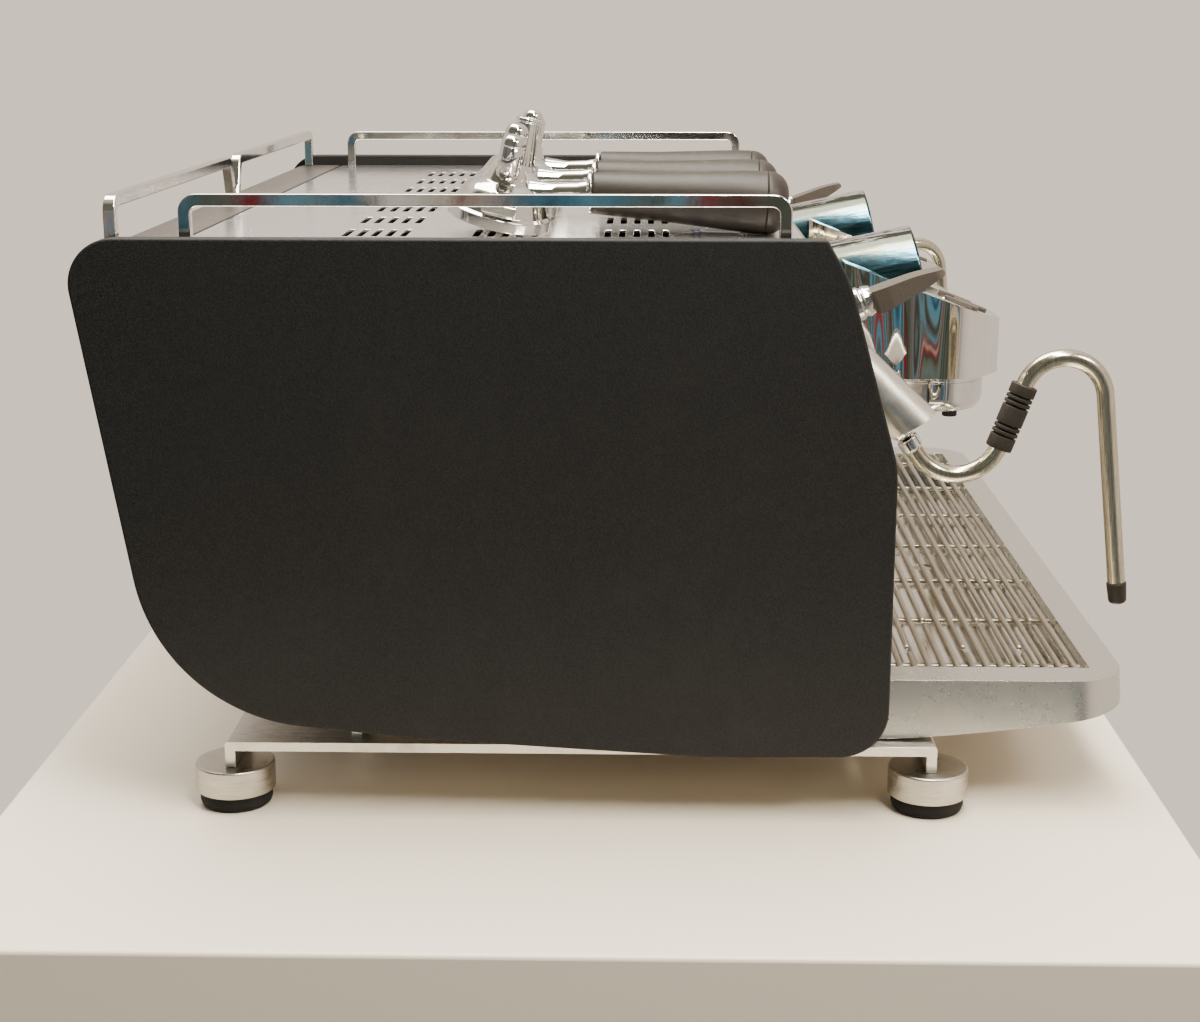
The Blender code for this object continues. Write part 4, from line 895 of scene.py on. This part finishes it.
def makeGrille():
    # rods across the machine in lengths with domed ends, on flat bars from back to front
    low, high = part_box("drip_grille")
    radius = grille["rod"] / 2
    rodZ = high.z - radius
    rows = int((high.y - low.y) / grille["pitch"])
    middleY = (low.y + high.y) / 2
    rods = []
    for row in range(rows):
        y = middleY + (row - (rows - 1) / 2) * grille["pitch"]
        stops = [low.x, high.x]
        if row % 2:
            stops = [low.x, grille["breaks"][row // 2 % 2], high.x]
        for start, end in zip(stops, stops[1:]):
            begin = start + (grille["breakGap"] / 2 if start > low.x else 0)
            finish = end - (grille["breakGap"] / 2 if end < high.x else 0)
            profile = [(0, 0)]
            profile += [
                (radius * math.sin(math.radians(angle)), radius * (1 - math.cos(math.radians(angle))))
                for angle in (30, 60, 90)
            ]
            length = finish - begin
            profile += [(r, length - h) for r, h in reversed(profile)]
            rods.append(latheTurn(f"rod-{row}-{len(rods)}", profile, Vector((begin, y, rodZ)), across, 14))
    width, thick = grille["bar"]
    for k in range(grille["bars"]):
        x = (low.x + high.x) / 2 + (k - (grille["bars"] - 1) / 2) * (high.x - low.x - 0.04) / (grille["bars"] - 1)
        bar = block(f"bar-{k}", (width, high.y - low.y, thick), (x, middleY, low.z + thick / 2))
        softenEdges(bar, 0.0005, 2, 40)
        rods.append(bar)
    whole = smoothRound(joinUp(rods, "wire-grille"), 40)
    fit(whole, "grille", "polished_steel", rodSteel, "drip_grille")


makeDripRim()
makeGrille()
print("drip tray done")


# groups: drum, lens, cover, buttons, head

groupX = 0.160        # of a group, out from the middle

drum = {"face": (-0.2197, 0.3385), "radius": 0.036, "length": 0.118, "tilt": math.radians(12), "lens": 0.0315}


def makeDrums():
    way = forwardsUp(drum["tilt"])
    radius = drum["radius"]
    lens = drum["lens"]
    for side, sign in sides.items():
        x = sign * groupX
        centre = Vector((x, *drum["face"]))
        shell = roundOff([
            (0, -drum["length"], 0), (radius, -drum["length"], 0.002), (radius, 0, 0.0022),
            (lens + 0.0004, 0, 0.0008), (lens + 0.0004, -0.0045, 0), (0, -0.0045, 0),
        ], closed=False, step=12)
        piece = turnSmooth(f"drum-{side}", shell, centre, way, 96)
        fit(piece, "machine", "chrome", drumChrome, f"group_drum_{side}")
        glass = roundOff([
            (0, -0.0002, 0), (lens * 0.6, -0.0006, 0.02), (lens, -0.0014, 0.0012), (lens, -0.0041, 0), (0, -0.0041, 0),
        ], closed=False, step=6)
        piece = turnSmooth(f"lens-{side}", glass, centre, way, 72)
        fit(piece, "machine", "display_glass", lensGloss, f"display_lens_{side}")
        ring = [(lens * 0.80, -0.0011), (lens * 0.80, -0.0006), (lens * 0.76, -0.0005), (lens * 0.76, -0.0011)]
        piece = turnSmooth(f"lens-ring-{side}", ring, centre, way, 72, True)
        fit(piece, "machine", "chrome", chromeBright)


makeDrums()
print("drums done")


head = {"y": -0.2335, "radius": 0.0375, "socket": 0.0305, "roof": 0.020, "seam": 0.0007}

groupCover = {
    "halfWidth": 0.052, "front": -0.2795, "bottom": 0.2665, "topFront": 0.3070,
    "slope": math.radians(20.5), "edge": 0.0011,
    "facets": [(0.0150, 0.0), (0.0335, 0.0110), (0.0465, 0.0255), (0.0520, 0.0425)],    # half width, from the front
}


def makeCovers():
    # a plan with flat facets at the front corners, under a sloping top
    front = groupCover["front"]
    slope = groupCover["slope"]
    backY = -0.16
    half = [(x, front + dy) for x, dy in groupCover["facets"]]
    plan = [(-x, y) for x, y in reversed(half)] + half
    plan = [(-groupCover["halfWidth"], backY)] + plan + [(groupCover["halfWidth"], backY)]
    slopeUp = Vector((0, -math.sin(slope), math.cos(slope)))
    for side, sign in sides.items():
        x = sign * groupX
        cover = cutPlate(
            f"cover_{side}", plan, lambda a, b: Vector((x + a, b, groupCover["bottom"])), Vector((0, 0, 0.11)),
        )
        above = Vector((x, front, groupCover["topFront"])) + slopeUp * 0.1
        carve(cover, block("above", (0.2, 0.5, 0.2), above, (slope, 0, 0)))
        way = forwardsUp(drum["tilt"])
        drumBore = latheTurn("bore", [
            (0, -0.16), (drum["radius"] + 0.0005, -0.16), (drum["radius"] + 0.0005, 0.04), (0, 0.04),
        ], Vector((x, *drum["face"])), way, 96)
        carve(cover, drumBore)
        bore = head["radius"] + 0.0005
        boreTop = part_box(f"group_head_{side}")[1].z - groupCover["bottom"] + 0.0004
        headBore = latheTurn("headBore", [
            (0, -0.05), (bore, -0.05), (bore, boreTop), (0, boreTop),
        ], Vector((x, head["y"], groupCover["bottom"])), up, 96)
        carve(cover, headBore)
        for number in (1, 2, 3):
            low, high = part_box(f"brew_button_{side}_{number}")
            middle = (low + high) / 2
            well = block("well", (0.0068, 0.0268, 0.0100), middle, (slope, 0, 0))
            carve(cover, well)
            button = block(f"button-{side}-{number}", (0.006, 0.026, 0.0045), middle, (slope, 0, 0))
            softenEdges(button, 0.0009, 3, 40)
            fit(button, f"button_{side}_{number}", "black_plastic", leverSatinPaintedSheen, f"brew_button_{side}_{number}")
        softenEdges(cover, groupCover["edge"], 3, 14)
        fit(cover, "machine", "chrome", coverChrome, f"group_cover_{side}")


def makeHeads():
    for side, sign in sides.items():
        low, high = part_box(f"group_head_{side}")
        centre = Vector((sign * groupX, head["y"], 0))
        radius = head["radius"]
        inner = head["socket"]
        bottom = low.z
        roofZ = bottom + head["roof"]
        shell = roundOff([
            (0, high.z, 0), (radius, high.z, 0.001), (radius, bottom + 0.0235, 0.0003),
            (radius - head["seam"], bottom + 0.0232, 0), (radius - head["seam"], bottom + 0.0224, 0),
            (radius, bottom + 0.0221, 0.0003), (radius, bottom + 0.004, 0.012), (inner + 0.001, bottom, 0.0012),
            (inner, bottom + 0.003, 0.001), (inner, roofZ, 0.0008), (0, roofZ, 0),
        ], closed=False, step=8)
        piece = latheTurn(f"head-{side}", shell, centre, up, 96)
        smoothRound(piece, 35)
        fit(piece, "machine", "chrome", chromeBright, f"group_head_{side}")
        gasket = roundOff([
            (inner - 0.0004, roofZ - 0.0006, 0.0006), (inner - 0.0004, roofZ - 0.006, 0.0006),
            (inner - 0.0070, roofZ - 0.006, 0.0006), (inner - 0.0070, roofZ - 0.0006, 0.0006),
        ], step=20)
        piece = turnSmooth(f"gasket-{side}", gasket, centre, up, 64, True)
        fit(piece, "machine", "rubber", padRubber)
        screen = [(0.0006, roofZ - 0.0048), (0.0035, roofZ - 0.0048), (0.0040, roofZ - 0.0038)]
        for k in range(5):
            out = 0.007 + k * 0.0034
            screen += [(out, roofZ - 0.0038), (out + 0.0004, roofZ - 0.0034), (out + 0.0008, roofZ - 0.0038)]
        screen += [(inner - 0.0076, roofZ - 0.0038), (inner - 0.0076, roofZ - 0.0010), (0.0006, roofZ - 0.0010)]
        piece = turnSmooth(f"screen-{side}", screen, centre, up, 64, True)
        fit(piece, "machine", "brushed_steel", turnedSteel)


makeCovers()
makeHeads()
print("group covers and heads done")


# steam valves, levers, wands

valve = {
    "x": 0.330, "ball": (-0.1885, 0.2540), "radius": 0.020, "offset": 0.0065,
    "tilt": math.radians(44), "end": math.radians(29), "behind": 0.058, "ahead": 0.030, "seat": 0.0091,
}


def makeValves():
    way = forwardsUp(-valve["tilt"])
    radius = valve["radius"]
    for side, sign in sides.items():
        ball = Vector((sign * valve["x"], *valve["ball"]))
        middle = ball + forwardsUp(valve["end"]) * valve["offset"]
        bar = latheTurn(f"valve-{side}", [
            (0, -valve["behind"]), (radius, -valve["behind"]), (radius, valve["ahead"]), (0, valve["ahead"]),
        ], middle, way, 96)
        # a flat along the top, with a fine seam beside it
        topWay = Vector((0, -math.sin(valve["tilt"]), math.cos(valve["tilt"])))
        flat = block("flat", (0.060, 0.2, 0.020), middle + topWay * (radius + 0.0082), (valve["tilt"], 0, 0))
        carve(bar, flat)
        seam = block("seam", (0.0007, 0.2, 0.004), middle + topWay * (radius - 0.0018) + across * sign * 0.0050,
                     (valve["tilt"], 0, 0))
        carve(bar, seam)
        below = ball + Vector((0, -math.sin(valve["end"]), -math.cos(valve["end"]))) * 0.05
        carve(bar, block("end", (0.1, 0.2, 0.1), below, (-valve["end"], 0, 0)))
        deselectAll()
        bpy.ops.mesh.primitive_uv_sphere_add(segments=48, ring_count=24, radius=valve["seat"], location=ball)
        seat = bpy.context.object
        bpy.ops.object.transform_apply(location=True)
        carve(bar, seat)
        softenEdges(bar, 0.0007, 3, 32)
        fit(bar, "machine", "chrome", valveSatin, f"steam_valve_{side}")


lever = {"x": 0.350, "pivot": (-0.1515, 0.3395), "angle": math.radians(21), "length": 0.064, "root": 0.013}


def makeLevers():
    # a wedge from two outlines, its side view and its plan, on a chromed hub
    way = forwardsUp(lever["angle"])
    rise = Vector((0, math.sin(lever["angle"]), math.cos(lever["angle"])))
    length = lever["length"]
    root = lever["root"]
    sideView = roundOff([
        (root, 0.0062, 0.0022), (length * 0.7, 0.0058, 0.08), (length - 0.0015, 0.0034, 0.0022),
        (length, -0.0006, 0.0018), (length * 0.72, -0.0048, 0.05), (root + 0.006, -0.0092, 0.02),
        (root, -0.0088, 0.0022),
    ], step=6)
    plan = roundOff([
        (root, -0.0120, 0.004), (root + 0.012, -0.0132, 0.02), (length, -0.0095, 0.0080),
        (length, 0.0095, 0.0080), (root + 0.012, 0.0132, 0.02), (root, 0.0120, 0.004),
    ], step=6)
    hub = roundOff([
        (0, -0.014, 0), (0.0112, -0.014, 0.001), (0.0112, 0.0060, 0.0012), (0.0098, 0.0066, 0.0004),
        (0.0098, 0.0082, 0.0004), (0.0106, 0.0088, 0.0008), (0.0092, root + 0.0015, 0.0015), (0, root + 0.0015, 0),
    ], closed=False, step=12)
    for side, sign in sides.items():
        pivot = Vector((sign * lever["x"], *lever["pivot"]))
        paddle = cutPlate(
            f"lever-{side}", sideView, lambda a, b: pivot + way * a + rise * b - across * 0.02, across * 0.04,
        )
        planPlate = cutPlate("plan", plan, lambda a, b: pivot + way * a + across * b - rise * 0.03, rise * 0.06)
        carve(paddle, planPlate, "INTERSECT")
        softenEdges(paddle, 0.0014, 4, 35)
        fit(paddle, f"lever_{side}", "black_plastic", leverSatinPaintedSheen, f"steam_lever_{side}")
        piece = turnSmooth(f"lever-hub-{side}", hub, pivot, way, 64)
        fit(piece, f"lever_{side}", "chrome", chromeBright)


wand = {
    "radius": 0.0060, "start": 0.0090, "heading": math.radians(-55.5),
    "straights": (0.013, 0.044, 0.131), "bends": ((0.031, math.radians(125.5)), (0.028, math.radians(-153.3))),
    "turn": {"left": 0.0, "right": math.radians(20)}, "bendStep": math.radians(4),
    "gripRadius": 0.0090, "gripLength": 0.046, "tipRadius": 0.0068, "ball": 0.0085, "ballFlat": 0.0079,
}


def wandLine():
    # (ahead, up) points and headings from the ball; the grip's stretch starts after the first bend
    heading = wand["heading"]
    here = Vector((math.cos(heading), math.sin(heading))) * wand["start"]
    line = [(here.copy(), heading)]
    gripStart = None
    for straight, bend in zip(wand["straights"], wand["bends"] + (None,)):
        here = here + Vector((math.cos(heading), math.sin(heading))) * straight
        line.append((here.copy(), heading))
        if bend is None:
            continue
        radius, turn = bend
        hand = math.copysign(1, turn)
        centre = here + Vector((-math.sin(heading), math.cos(heading))) * radius * hand
        steps = math.ceil(abs(turn) / wand["bendStep"])
        for k in range(1, steps + 1):
            angle = heading + turn * k / steps
            line.append((centre + Vector((math.sin(angle), -math.cos(angle))) * radius * hand, angle))
        here, heading = line[-1]
        gripStart = gripStart or line[-1]
    return line, gripStart


def gripProfile():
    # a sleeve with plain ends and two sets of three ribs
    half = wand["gripLength"] / 2
    radius = wand["gripRadius"]
    outer = [(radius, half, 0.0008)]
    for middle in (half * 0.46, -half * 0.46):
        for k in (1, 0, -1):
            z = middle + k * 0.0036
            outer += [
                (radius, z + 0.0018, 0.0004), (radius - 0.0017, z + 0.0014, 0.0003),
                (radius - 0.0017, z + 0.0006, 0.0003), (radius, z + 0.0002, 0.0004),
            ]
    outer.append((radius, -half, 0.0008))
    outer += [(wand["radius"] + 0.0003, -half, 0), (wand["radius"] + 0.0003, half, 0)]
    return roundOff(outer, step=25)


def makeWands():
    line, (gripStart, gripHeading) = wandLine()
    gripMiddle = gripStart + Vector((math.cos(gripHeading), math.sin(gripHeading))) * (wand["straights"][1] / 2 - 0.001)
    tipProfile = roundOff([
        (0, 0.0152, 0), (wand["tipRadius"] - 0.0008, 0.0152, 0.0028), (wand["tipRadius"], 0.0004, 0.0006), (0, 0.0004, 0),
    ], closed=False, step=12)
    collar = roundOff([
        (0.0032, -0.001, 0), (0.0076, -0.001, 0.0010), (0.0076, 0.0065, 0.0010), (0.0061, 0.0085, 0.0006), (0.0032, 0.0085, 0),
    ], step=15)
    for side, sign in sides.items():
        ball = Vector((sign * valve["x"], *valve["ball"]))
        swing = Matrix.Rotation(sign * wand["turn"][side], 3, "Z")

        def place(point):
            return ball + swing @ Vector((0, -point.x, point.y))

        def wayAt(heading):
            return swing @ forwardsUp(heading)

        pipe = smoothRound(bendPipe(f"wand-{side}", [place(point) for point, _ in line], wand["radius"], 8), 40)
        fit(pipe, f"wand_{side}", "polished_steel", wandSteel, f"steam_wand_{side}")
        first, firstHeading = line[0]
        neck = turnSmooth(f"wand-neck-{side}", collar, place(first), wayAt(firstHeading), 32, True)
        fit(neck, f"wand_{side}", "chrome", chromeBright)
        grip = latheTurn(f"grip-{side}", gripProfile(), place(gripMiddle), wayAt(gripHeading), 56, True)
        fit(smoothRound(grip, 40), f"wand_{side}", "rubber", ribRubber, f"wand_grip_{side}")
        end, endHeading = line[-1]
        tip = latheTurn(f"tip-{side}", tipProfile, place(end), wayAt(endHeading), 40)
        fit(smoothRound(tip, 35), f"wand_{side}", "rubber", handleSatin, f"wand_tip_{side}")
        deselectAll()
        bpy.ops.mesh.primitive_uv_sphere_add(segments=40, ring_count=20, radius=wand["ball"], location=ball)
        piece = bpy.context.object
        piece.name = f"ball-{side}"
        bpy.ops.object.transform_apply(location=True)
        # a flat ground under the neck
        bpy.ops.object.mode_set(mode="EDIT")
        bpy.ops.mesh.select_all(action="SELECT")
        flatWay = wayAt(firstHeading)
        bpy.ops.mesh.bisect(
            plane_co=ball + flatWay * wand["ballFlat"], plane_no=flatWay, use_fill=True, clear_outer=True,
        )
        closeUp()
        fit(smoothRound(piece, 30), f"ball_{side}", "polished_steel", chromeBright, f"wand_ball_{side}")


makeValves()
makeLevers()
makeWands()
print("valves, levers and wands done")


# hot-water spout, between the groups

spout = {
    "radius": 0.005, "y": -0.273, "low": 0.203, "high": 0.305, "bend": 0.024, "flange": 0.011,
    "tip": 0.018, "overhang": 0.005, "sleeve": 0.0012, "bore": 0.0038,
}


def makeSpout():
    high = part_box("hot_water_spout")[1]
    points = [Vector((0, high.y, spout["high"]))]
    for angle in range(0, 91, 6):
        turn = math.radians(angle)
        points.append(Vector((
            0, spout["y"] + spout["bend"] * (1 - math.sin(turn)), spout["high"] - spout["bend"] * (1 - math.cos(turn)),
        )))
    points.append(Vector((0, spout["y"], spout["low"])))
    pipe = smoothRound(bendPipe("water-pipe", points, spout["radius"], 7), 40)
    fit(pipe, "machine", "polished_steel", wandSteel, "hot_water_spout")
    flange = roundOff([
        (spout["radius"], 0.002, 0), (spout["flange"], 0.002, 0.0010), (spout["flange"], 0.012, 0.0012),
        (spout["radius"] + 0.0016, 0.0200, 0.0010), (spout["radius"], 0.0205, 0),
    ], step=10)
    face = Vector((0, high.y - 0.0015, spout["high"]))
    piece = turnSmooth("water-flange", flange, face, Vector((0, -1, 0)), 56, True)
    fit(piece, "machine", "chrome", chromeBright)
    sleeve = spout["radius"] + spout["sleeve"]
    nozzle = roundOff([
        (spout["bore"], 0.0002, 0), (sleeve, 0.0002, 0.0008), (sleeve, spout["tip"] - 0.0015, 0.0008),
        (spout["radius"] + 0.0004, spout["tip"], 0.0006), (spout["bore"], spout["tip"], 0),
    ], step=15)
    piece = turnSmooth("water-nozzle", nozzle, Vector((0, spout["y"], spout["low"] - spout["overhang"])), up, 48, True)
    fit(piece, "machine", "rubber", padRubber)


makeSpout()
print("hot-water spout done")


# portafilters, upside down on the tray

portafilter = {
    "x": (-0.275, -0.160, -0.054), "roll": (math.radians(-8), 0.0, math.radians(9)), "kind": ("double", "single", "double"),
    "tilt": math.radians(12.8), "basketY": 0.0855, "radius": 0.0355, "topRadius": 0.0260, "height": 0.029,
    "neckY": 0.0205, "handle": 0.134, "handleRadii": (0.0142, 0.0215), "seam": 0.119,
    "handleTilt": math.radians(3.1), "buttLength": 0.020,
    "prong": 0.0080, "prongSpread": 0.020, "prongBend": 0.015, "prongTop": 0.0278,
}


def makeBasket(number, x, roll, kind):
    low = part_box(f"portafilter_basket_{number}")[0]
    lean = Euler((portafilter["tilt"], roll, 0)).to_matrix()
    upWay = lean @ up
    sideWay = lean @ across
    radius = portafilter["radius"]
    crown = portafilter["topRadius"]
    height = portafilter["height"]
    base = Vector((x, portafilter["basketY"], low.z + radius * math.sqrt(1 - upWay.z ** 2)))
    bowl = roundOff([
        (0, height, 0), (0.012, height, 0.02), (crown, height - 0.0055, 0.012), (radius - 0.0035, 0.0115, 0.006),
        (radius - 0.0026, 0.0095, 0.0015), (radius, 0.0075, 0.0012), (radius, 0, 0.0008), (radius - 0.0035, 0, 0.0008),
        (radius - 0.0035, 0.009, 0.002), (crown - 0.003, height - 0.009, 0.008), (0, height - 0.004, 0),
    ], closed=False, step=6)
    pieces = [latheTurn(f"bowl-{number}", bowl, base, upWay, 96)]
    top = base + upWay * height
    if kind == "double":
        foot = roundOff([
            (0, 0.0105, 0), (0.0105, 0.0105, 0.003), (0.0150, -0.001, 0.005), (0.0200, -0.0040, 0), (0, -0.0040, 0),
        ], closed=False, step=8)
        pieces.append(latheTurn(f"foot-{number}", foot, top, upWay, 64))
        for hand in (-1, 1):
            outWay = sideWay * hand
            line = []
            for angle in range(0, 91, 6):
                turn = math.radians(angle)
                rise = 0.004 + portafilter["prongBend"] * (1 - math.cos(turn))
                line.append(top + upWay * rise + outWay * portafilter["prongSpread"] * math.sin(turn))
            line.append(top + upWay * portafilter["prongTop"] + outWay * portafilter["prongSpread"])
            pieces.append(bendPipe(f"prong-{number}-{hand}", line, portafilter["prong"], 8))
            mouth = roundOff([
                (0, 0.0068, 0), (portafilter["prong"], 0.0068, 0.0062), (portafilter["prong"], -0.001, 0), (0, -0.001, 0),
            ], closed=False, step=8)
            pieces.append(latheTurn(f"mouth-{number}-{hand}", mouth, line[-1], upWay, 48))
    else:
        cone = roundOff([
            (0, 0.0350, 0), (0.0046, 0.0350, 0), (0.0056, 0.0372, 0.0006), (0.0082, 0.0372, 0.0012), (0.0090, 0.0350, 0.0008),
            (0.0080, 0.0335, 0.0006), (0.0118, 0.0020, 0.004), (0.0165, -0.0040, 0), (0, -0.0040, 0),
        ], closed=False, step=8)
        pieces.append(latheTurn(f"cone-{number}", cone, top, upWay, 64))
    alongHandle = portafilter["handle"] - portafilter["buttLength"]
    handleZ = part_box(f"portafilter_handle_{number}")[0].z + portafilter["handleRadii"][1]
    handleZ += alongHandle * math.sin(portafilter["handleTilt"])
    start = Vector((x, portafilter["neckY"], handleZ))
    length = portafilter["basketY"] - crown + 0.004 - portafilter["neckY"]
    neck = roundOff([
        (0, 0.0004, 0), (0.0148, 0.0004, 0.0006), (0.0148, 0.0026, 0.0006), (0.0085, 0.0034, 0.001), (0.0072, 0.010, 0.004),
        (0.0066, length * 0.6, 0.02), (0.0095, length, 0), (0, length, 0),
    ], closed=False, step=8)
    pieces.append(latheTurn(f"neck-{number}", neck, start, Vector((0, 1, 0)), 56))
    for hand in (-1, 1):
        ear = block(
            f"ear-{number}-{hand}", (0.008, 0.024, 0.0072), base + sideWay * hand * (radius - 0.0030) + upWay * 0.0150,
            Euler((portafilter["tilt"], roll, 0)),
        )
        pieces.append(softenEdges(ear, 0.0014, 3, 40))
    whole = smoothRound(joinUp(pieces, f"basket-{number}"), 38)
    fit(whole, f"portafilter_{number}", "chrome", chromeBright, f"portafilter_basket_{number}")
    return start


def makePortafilters():
    neck, butt = portafilter["handleRadii"]
    length = portafilter["handle"]
    seam = portafilter["seam"]
    profile = roundOff([
        (0, 0.0, 0), (neck, 0.0, 0.0012), (neck + 0.0022, -0.045, 0.3), (butt - 0.0004, -0.106, 0.3),
        (butt, -seam + 0.0006, 0.0004),
        (butt - 0.0006, -seam, 0), (butt, -seam - 0.0006, 0.0004), (butt - 0.0002, -length, 0.0140), (0, -length, 0),
    ], closed=False, step=6)
    for number, (x, roll, kind) in enumerate(zip(portafilter["x"], portafilter["roll"], portafilter["kind"]), 1):
        start = makeBasket(number, x, roll, kind)
        handleWay = Vector((0, math.cos(portafilter["handleTilt"]), math.sin(portafilter["handleTilt"])))
        grip = latheTurn(f"handle-{number}", profile, start, handleWay, 72)
        fit(smoothRound(grip, 35), f"portafilter_{number}", "black_plastic", handleSatin, f"portafilter_handle_{number}")


makePortafilters()
print("portafilters done")


# floor, light and camera

stage = {
    "tone": (0.95, 0.87, 0.745), "size": (1.10, 0.794, 0.30), "middle": (-0.052, 0.0225),
    "wall": (0.80, 0.70, 0.61), "ceiling": (1.0, 0.95, 0.86), "hall": (0.19, 0.185, 0.145),
}


lamps = {        # place, size, power
    "ceilingStrip": ((-0.9, -0.3, 2.2), (0.30, 2.0), 54),
    "ceilingSoft": ((0.4, 0.5, 2.6), (1.6, 1.6), 60),
    "frontSoft": ((-1.6, -1.9, 2.1), (1.0, 0.6), 24),
}


def makeStage():
    # a plain pale table top
    length, width, depth = stage["size"]
    top = block("floor", (length, width, depth), (*stage["middle"], -depth / 2 - 0.0002))
    material = bpy.data.materials.new("paleTop")
    material.use_nodes = True
    shader = material.node_tree.nodes["Principled BSDF"]
    shader.inputs["Base Color"].default_value = (*stage["tone"], 1.0)
    shader.inputs["Roughness"].default_value = 0.45
    softenEdges(top, 0.003, 3, 40)
    top.data.materials.append(material)


def makeLight():
    # the camera sees a plain pale wall; reflections also see a bright ceiling and a hall with coloured stands
    world = bpy.data.worlds.new("studio")
    bpy.context.scene.world = world
    world.use_nodes = True
    tree = world.node_tree
    tree.nodes.clear()
    way = addNode(tree, "ShaderNodeTexCoord").outputs["Generated"]
    split = addNode(tree, "ShaderNodeSeparateXYZ", None, {0: way})
    height = split.outputs["Z"]
    bearing = combine(tree, "ARCTAN2", split.outputs["Y"], split.outputs["X"])
    columns = addNode(tree, "ShaderNodeTexNoise", {"noise_dimensions": "1D"}, {
        "W": bearing, "Scale": 14.0, "Detail": 3.0, "Roughness": 0.7,
    }).outputs["Fac"]
    stands = addNode(tree, "ShaderNodeValToRGB", None, {"Fac": columns})
    stops = stands.color_ramp
    stops.interpolation = "EASE"
    stops.elements[0].position = 0.30
    stops.elements[0].color = (0.16, 0.38, 0.50, 1)
    stops.elements[1].position = 0.72
    stops.elements[1].color = (0.78, 0.76, 0.68, 1)
    for position, tone in ((0.38, (0.03, 0.05, 0.06)), (0.44, (0.13, 0.31, 0.42)), (0.48, (0.16, 0.17, 0.13)), (0.53, (0.05, 0.06, 0.05)),
                           (0.585, (0.34, 0.016, 0.022)), (0.61, (0.40, 0.39, 0.33))):
        stops.elements.new(position).color = (*tone, 1)
    below = mixColour(tree, mapRange(tree, height, -0.34, -0.28), (0.30, 0.29, 0.24), stands.outputs["Color"])
    hall = mixColour(tree, mapRange(tree, height, 0.20, 0.30), below, stage["hall"])
    hall = mixColour(tree, mapRange(tree, height, 0.80, 0.98), hall, stage["wall"])
    wall = mixColour(tree, mapRange(tree, height, 0.45, 0.75), stage["wall"], stage["ceiling"])
    whole = mixColour(tree, mapRange(tree, split.outputs["X"], -0.10, 0.12), hall, wall)
    whole = mixColour(tree, mapRange(tree, split.outputs["Y"], -0.55, -0.75), whole, stage["wall"])
    shown = addNode(tree, "ShaderNodeBackground", None, {"Color": (*stage["wall"], 1), "Strength": 1.0})
    lit = addNode(tree, "ShaderNodeBackground", None, {"Color": whole, "Strength": 0.9})
    path = addNode(tree, "ShaderNodeLightPath")
    mix = addNode(tree, "ShaderNodeMixShader", None, {
        "Fac": path.outputs["Is Camera Ray"], 1: lit.outputs[0], 2: shown.outputs[0],
    })
    addNode(tree, "ShaderNodeOutputWorld", None, {"Surface": mix.outputs[0]})
    for name, (place, size, power) in lamps.items():
        lamp = bpy.data.lights.new(name, "AREA")
        lamp.shape = "RECTANGLE"
        lamp.size, lamp.size_y = size
        lamp.energy = power
        lamp.color = (1.0, 0.95, 0.87)
        stand = bpy.data.objects.new(name, lamp)
        bpy.context.scene.collection.objects.link(stand)
        stand.location = place
        aim = Vector((0, 0, 0.2)) - Vector(place)
        stand.rotation_euler = aim.to_track_quat("-Z", "Y").to_euler()
    bpy.context.scene.view_settings.look = "AgX - Medium High Contrast"


viewpoint = {
    "lens": 58.86, "sensor": 36.0,
    "place": (-1.6323, -0.0157, 0.5199), "heading": (0.97013, 0.02222, -0.24159),
}


def makeCamera():
    lens = bpy.data.cameras.new("viewpoint")
    lens.lens = viewpoint["lens"]
    lens.sensor_width = viewpoint["sensor"]
    lens.sensor_fit = "HORIZONTAL"
    lens.clip_end = 50
    viewer = bpy.data.objects.new("viewpoint", lens)
    bpy.context.scene.collection.objects.link(viewer)
    viewer.location = viewpoint["place"]
    viewer.rotation_euler = Vector(viewpoint["heading"]).to_track_quat("-Z", "Y").to_euler()
    bpy.context.scene.camera = viewer


makeStage()
makeLight()
makeCamera()
print("stage, light and camera done")
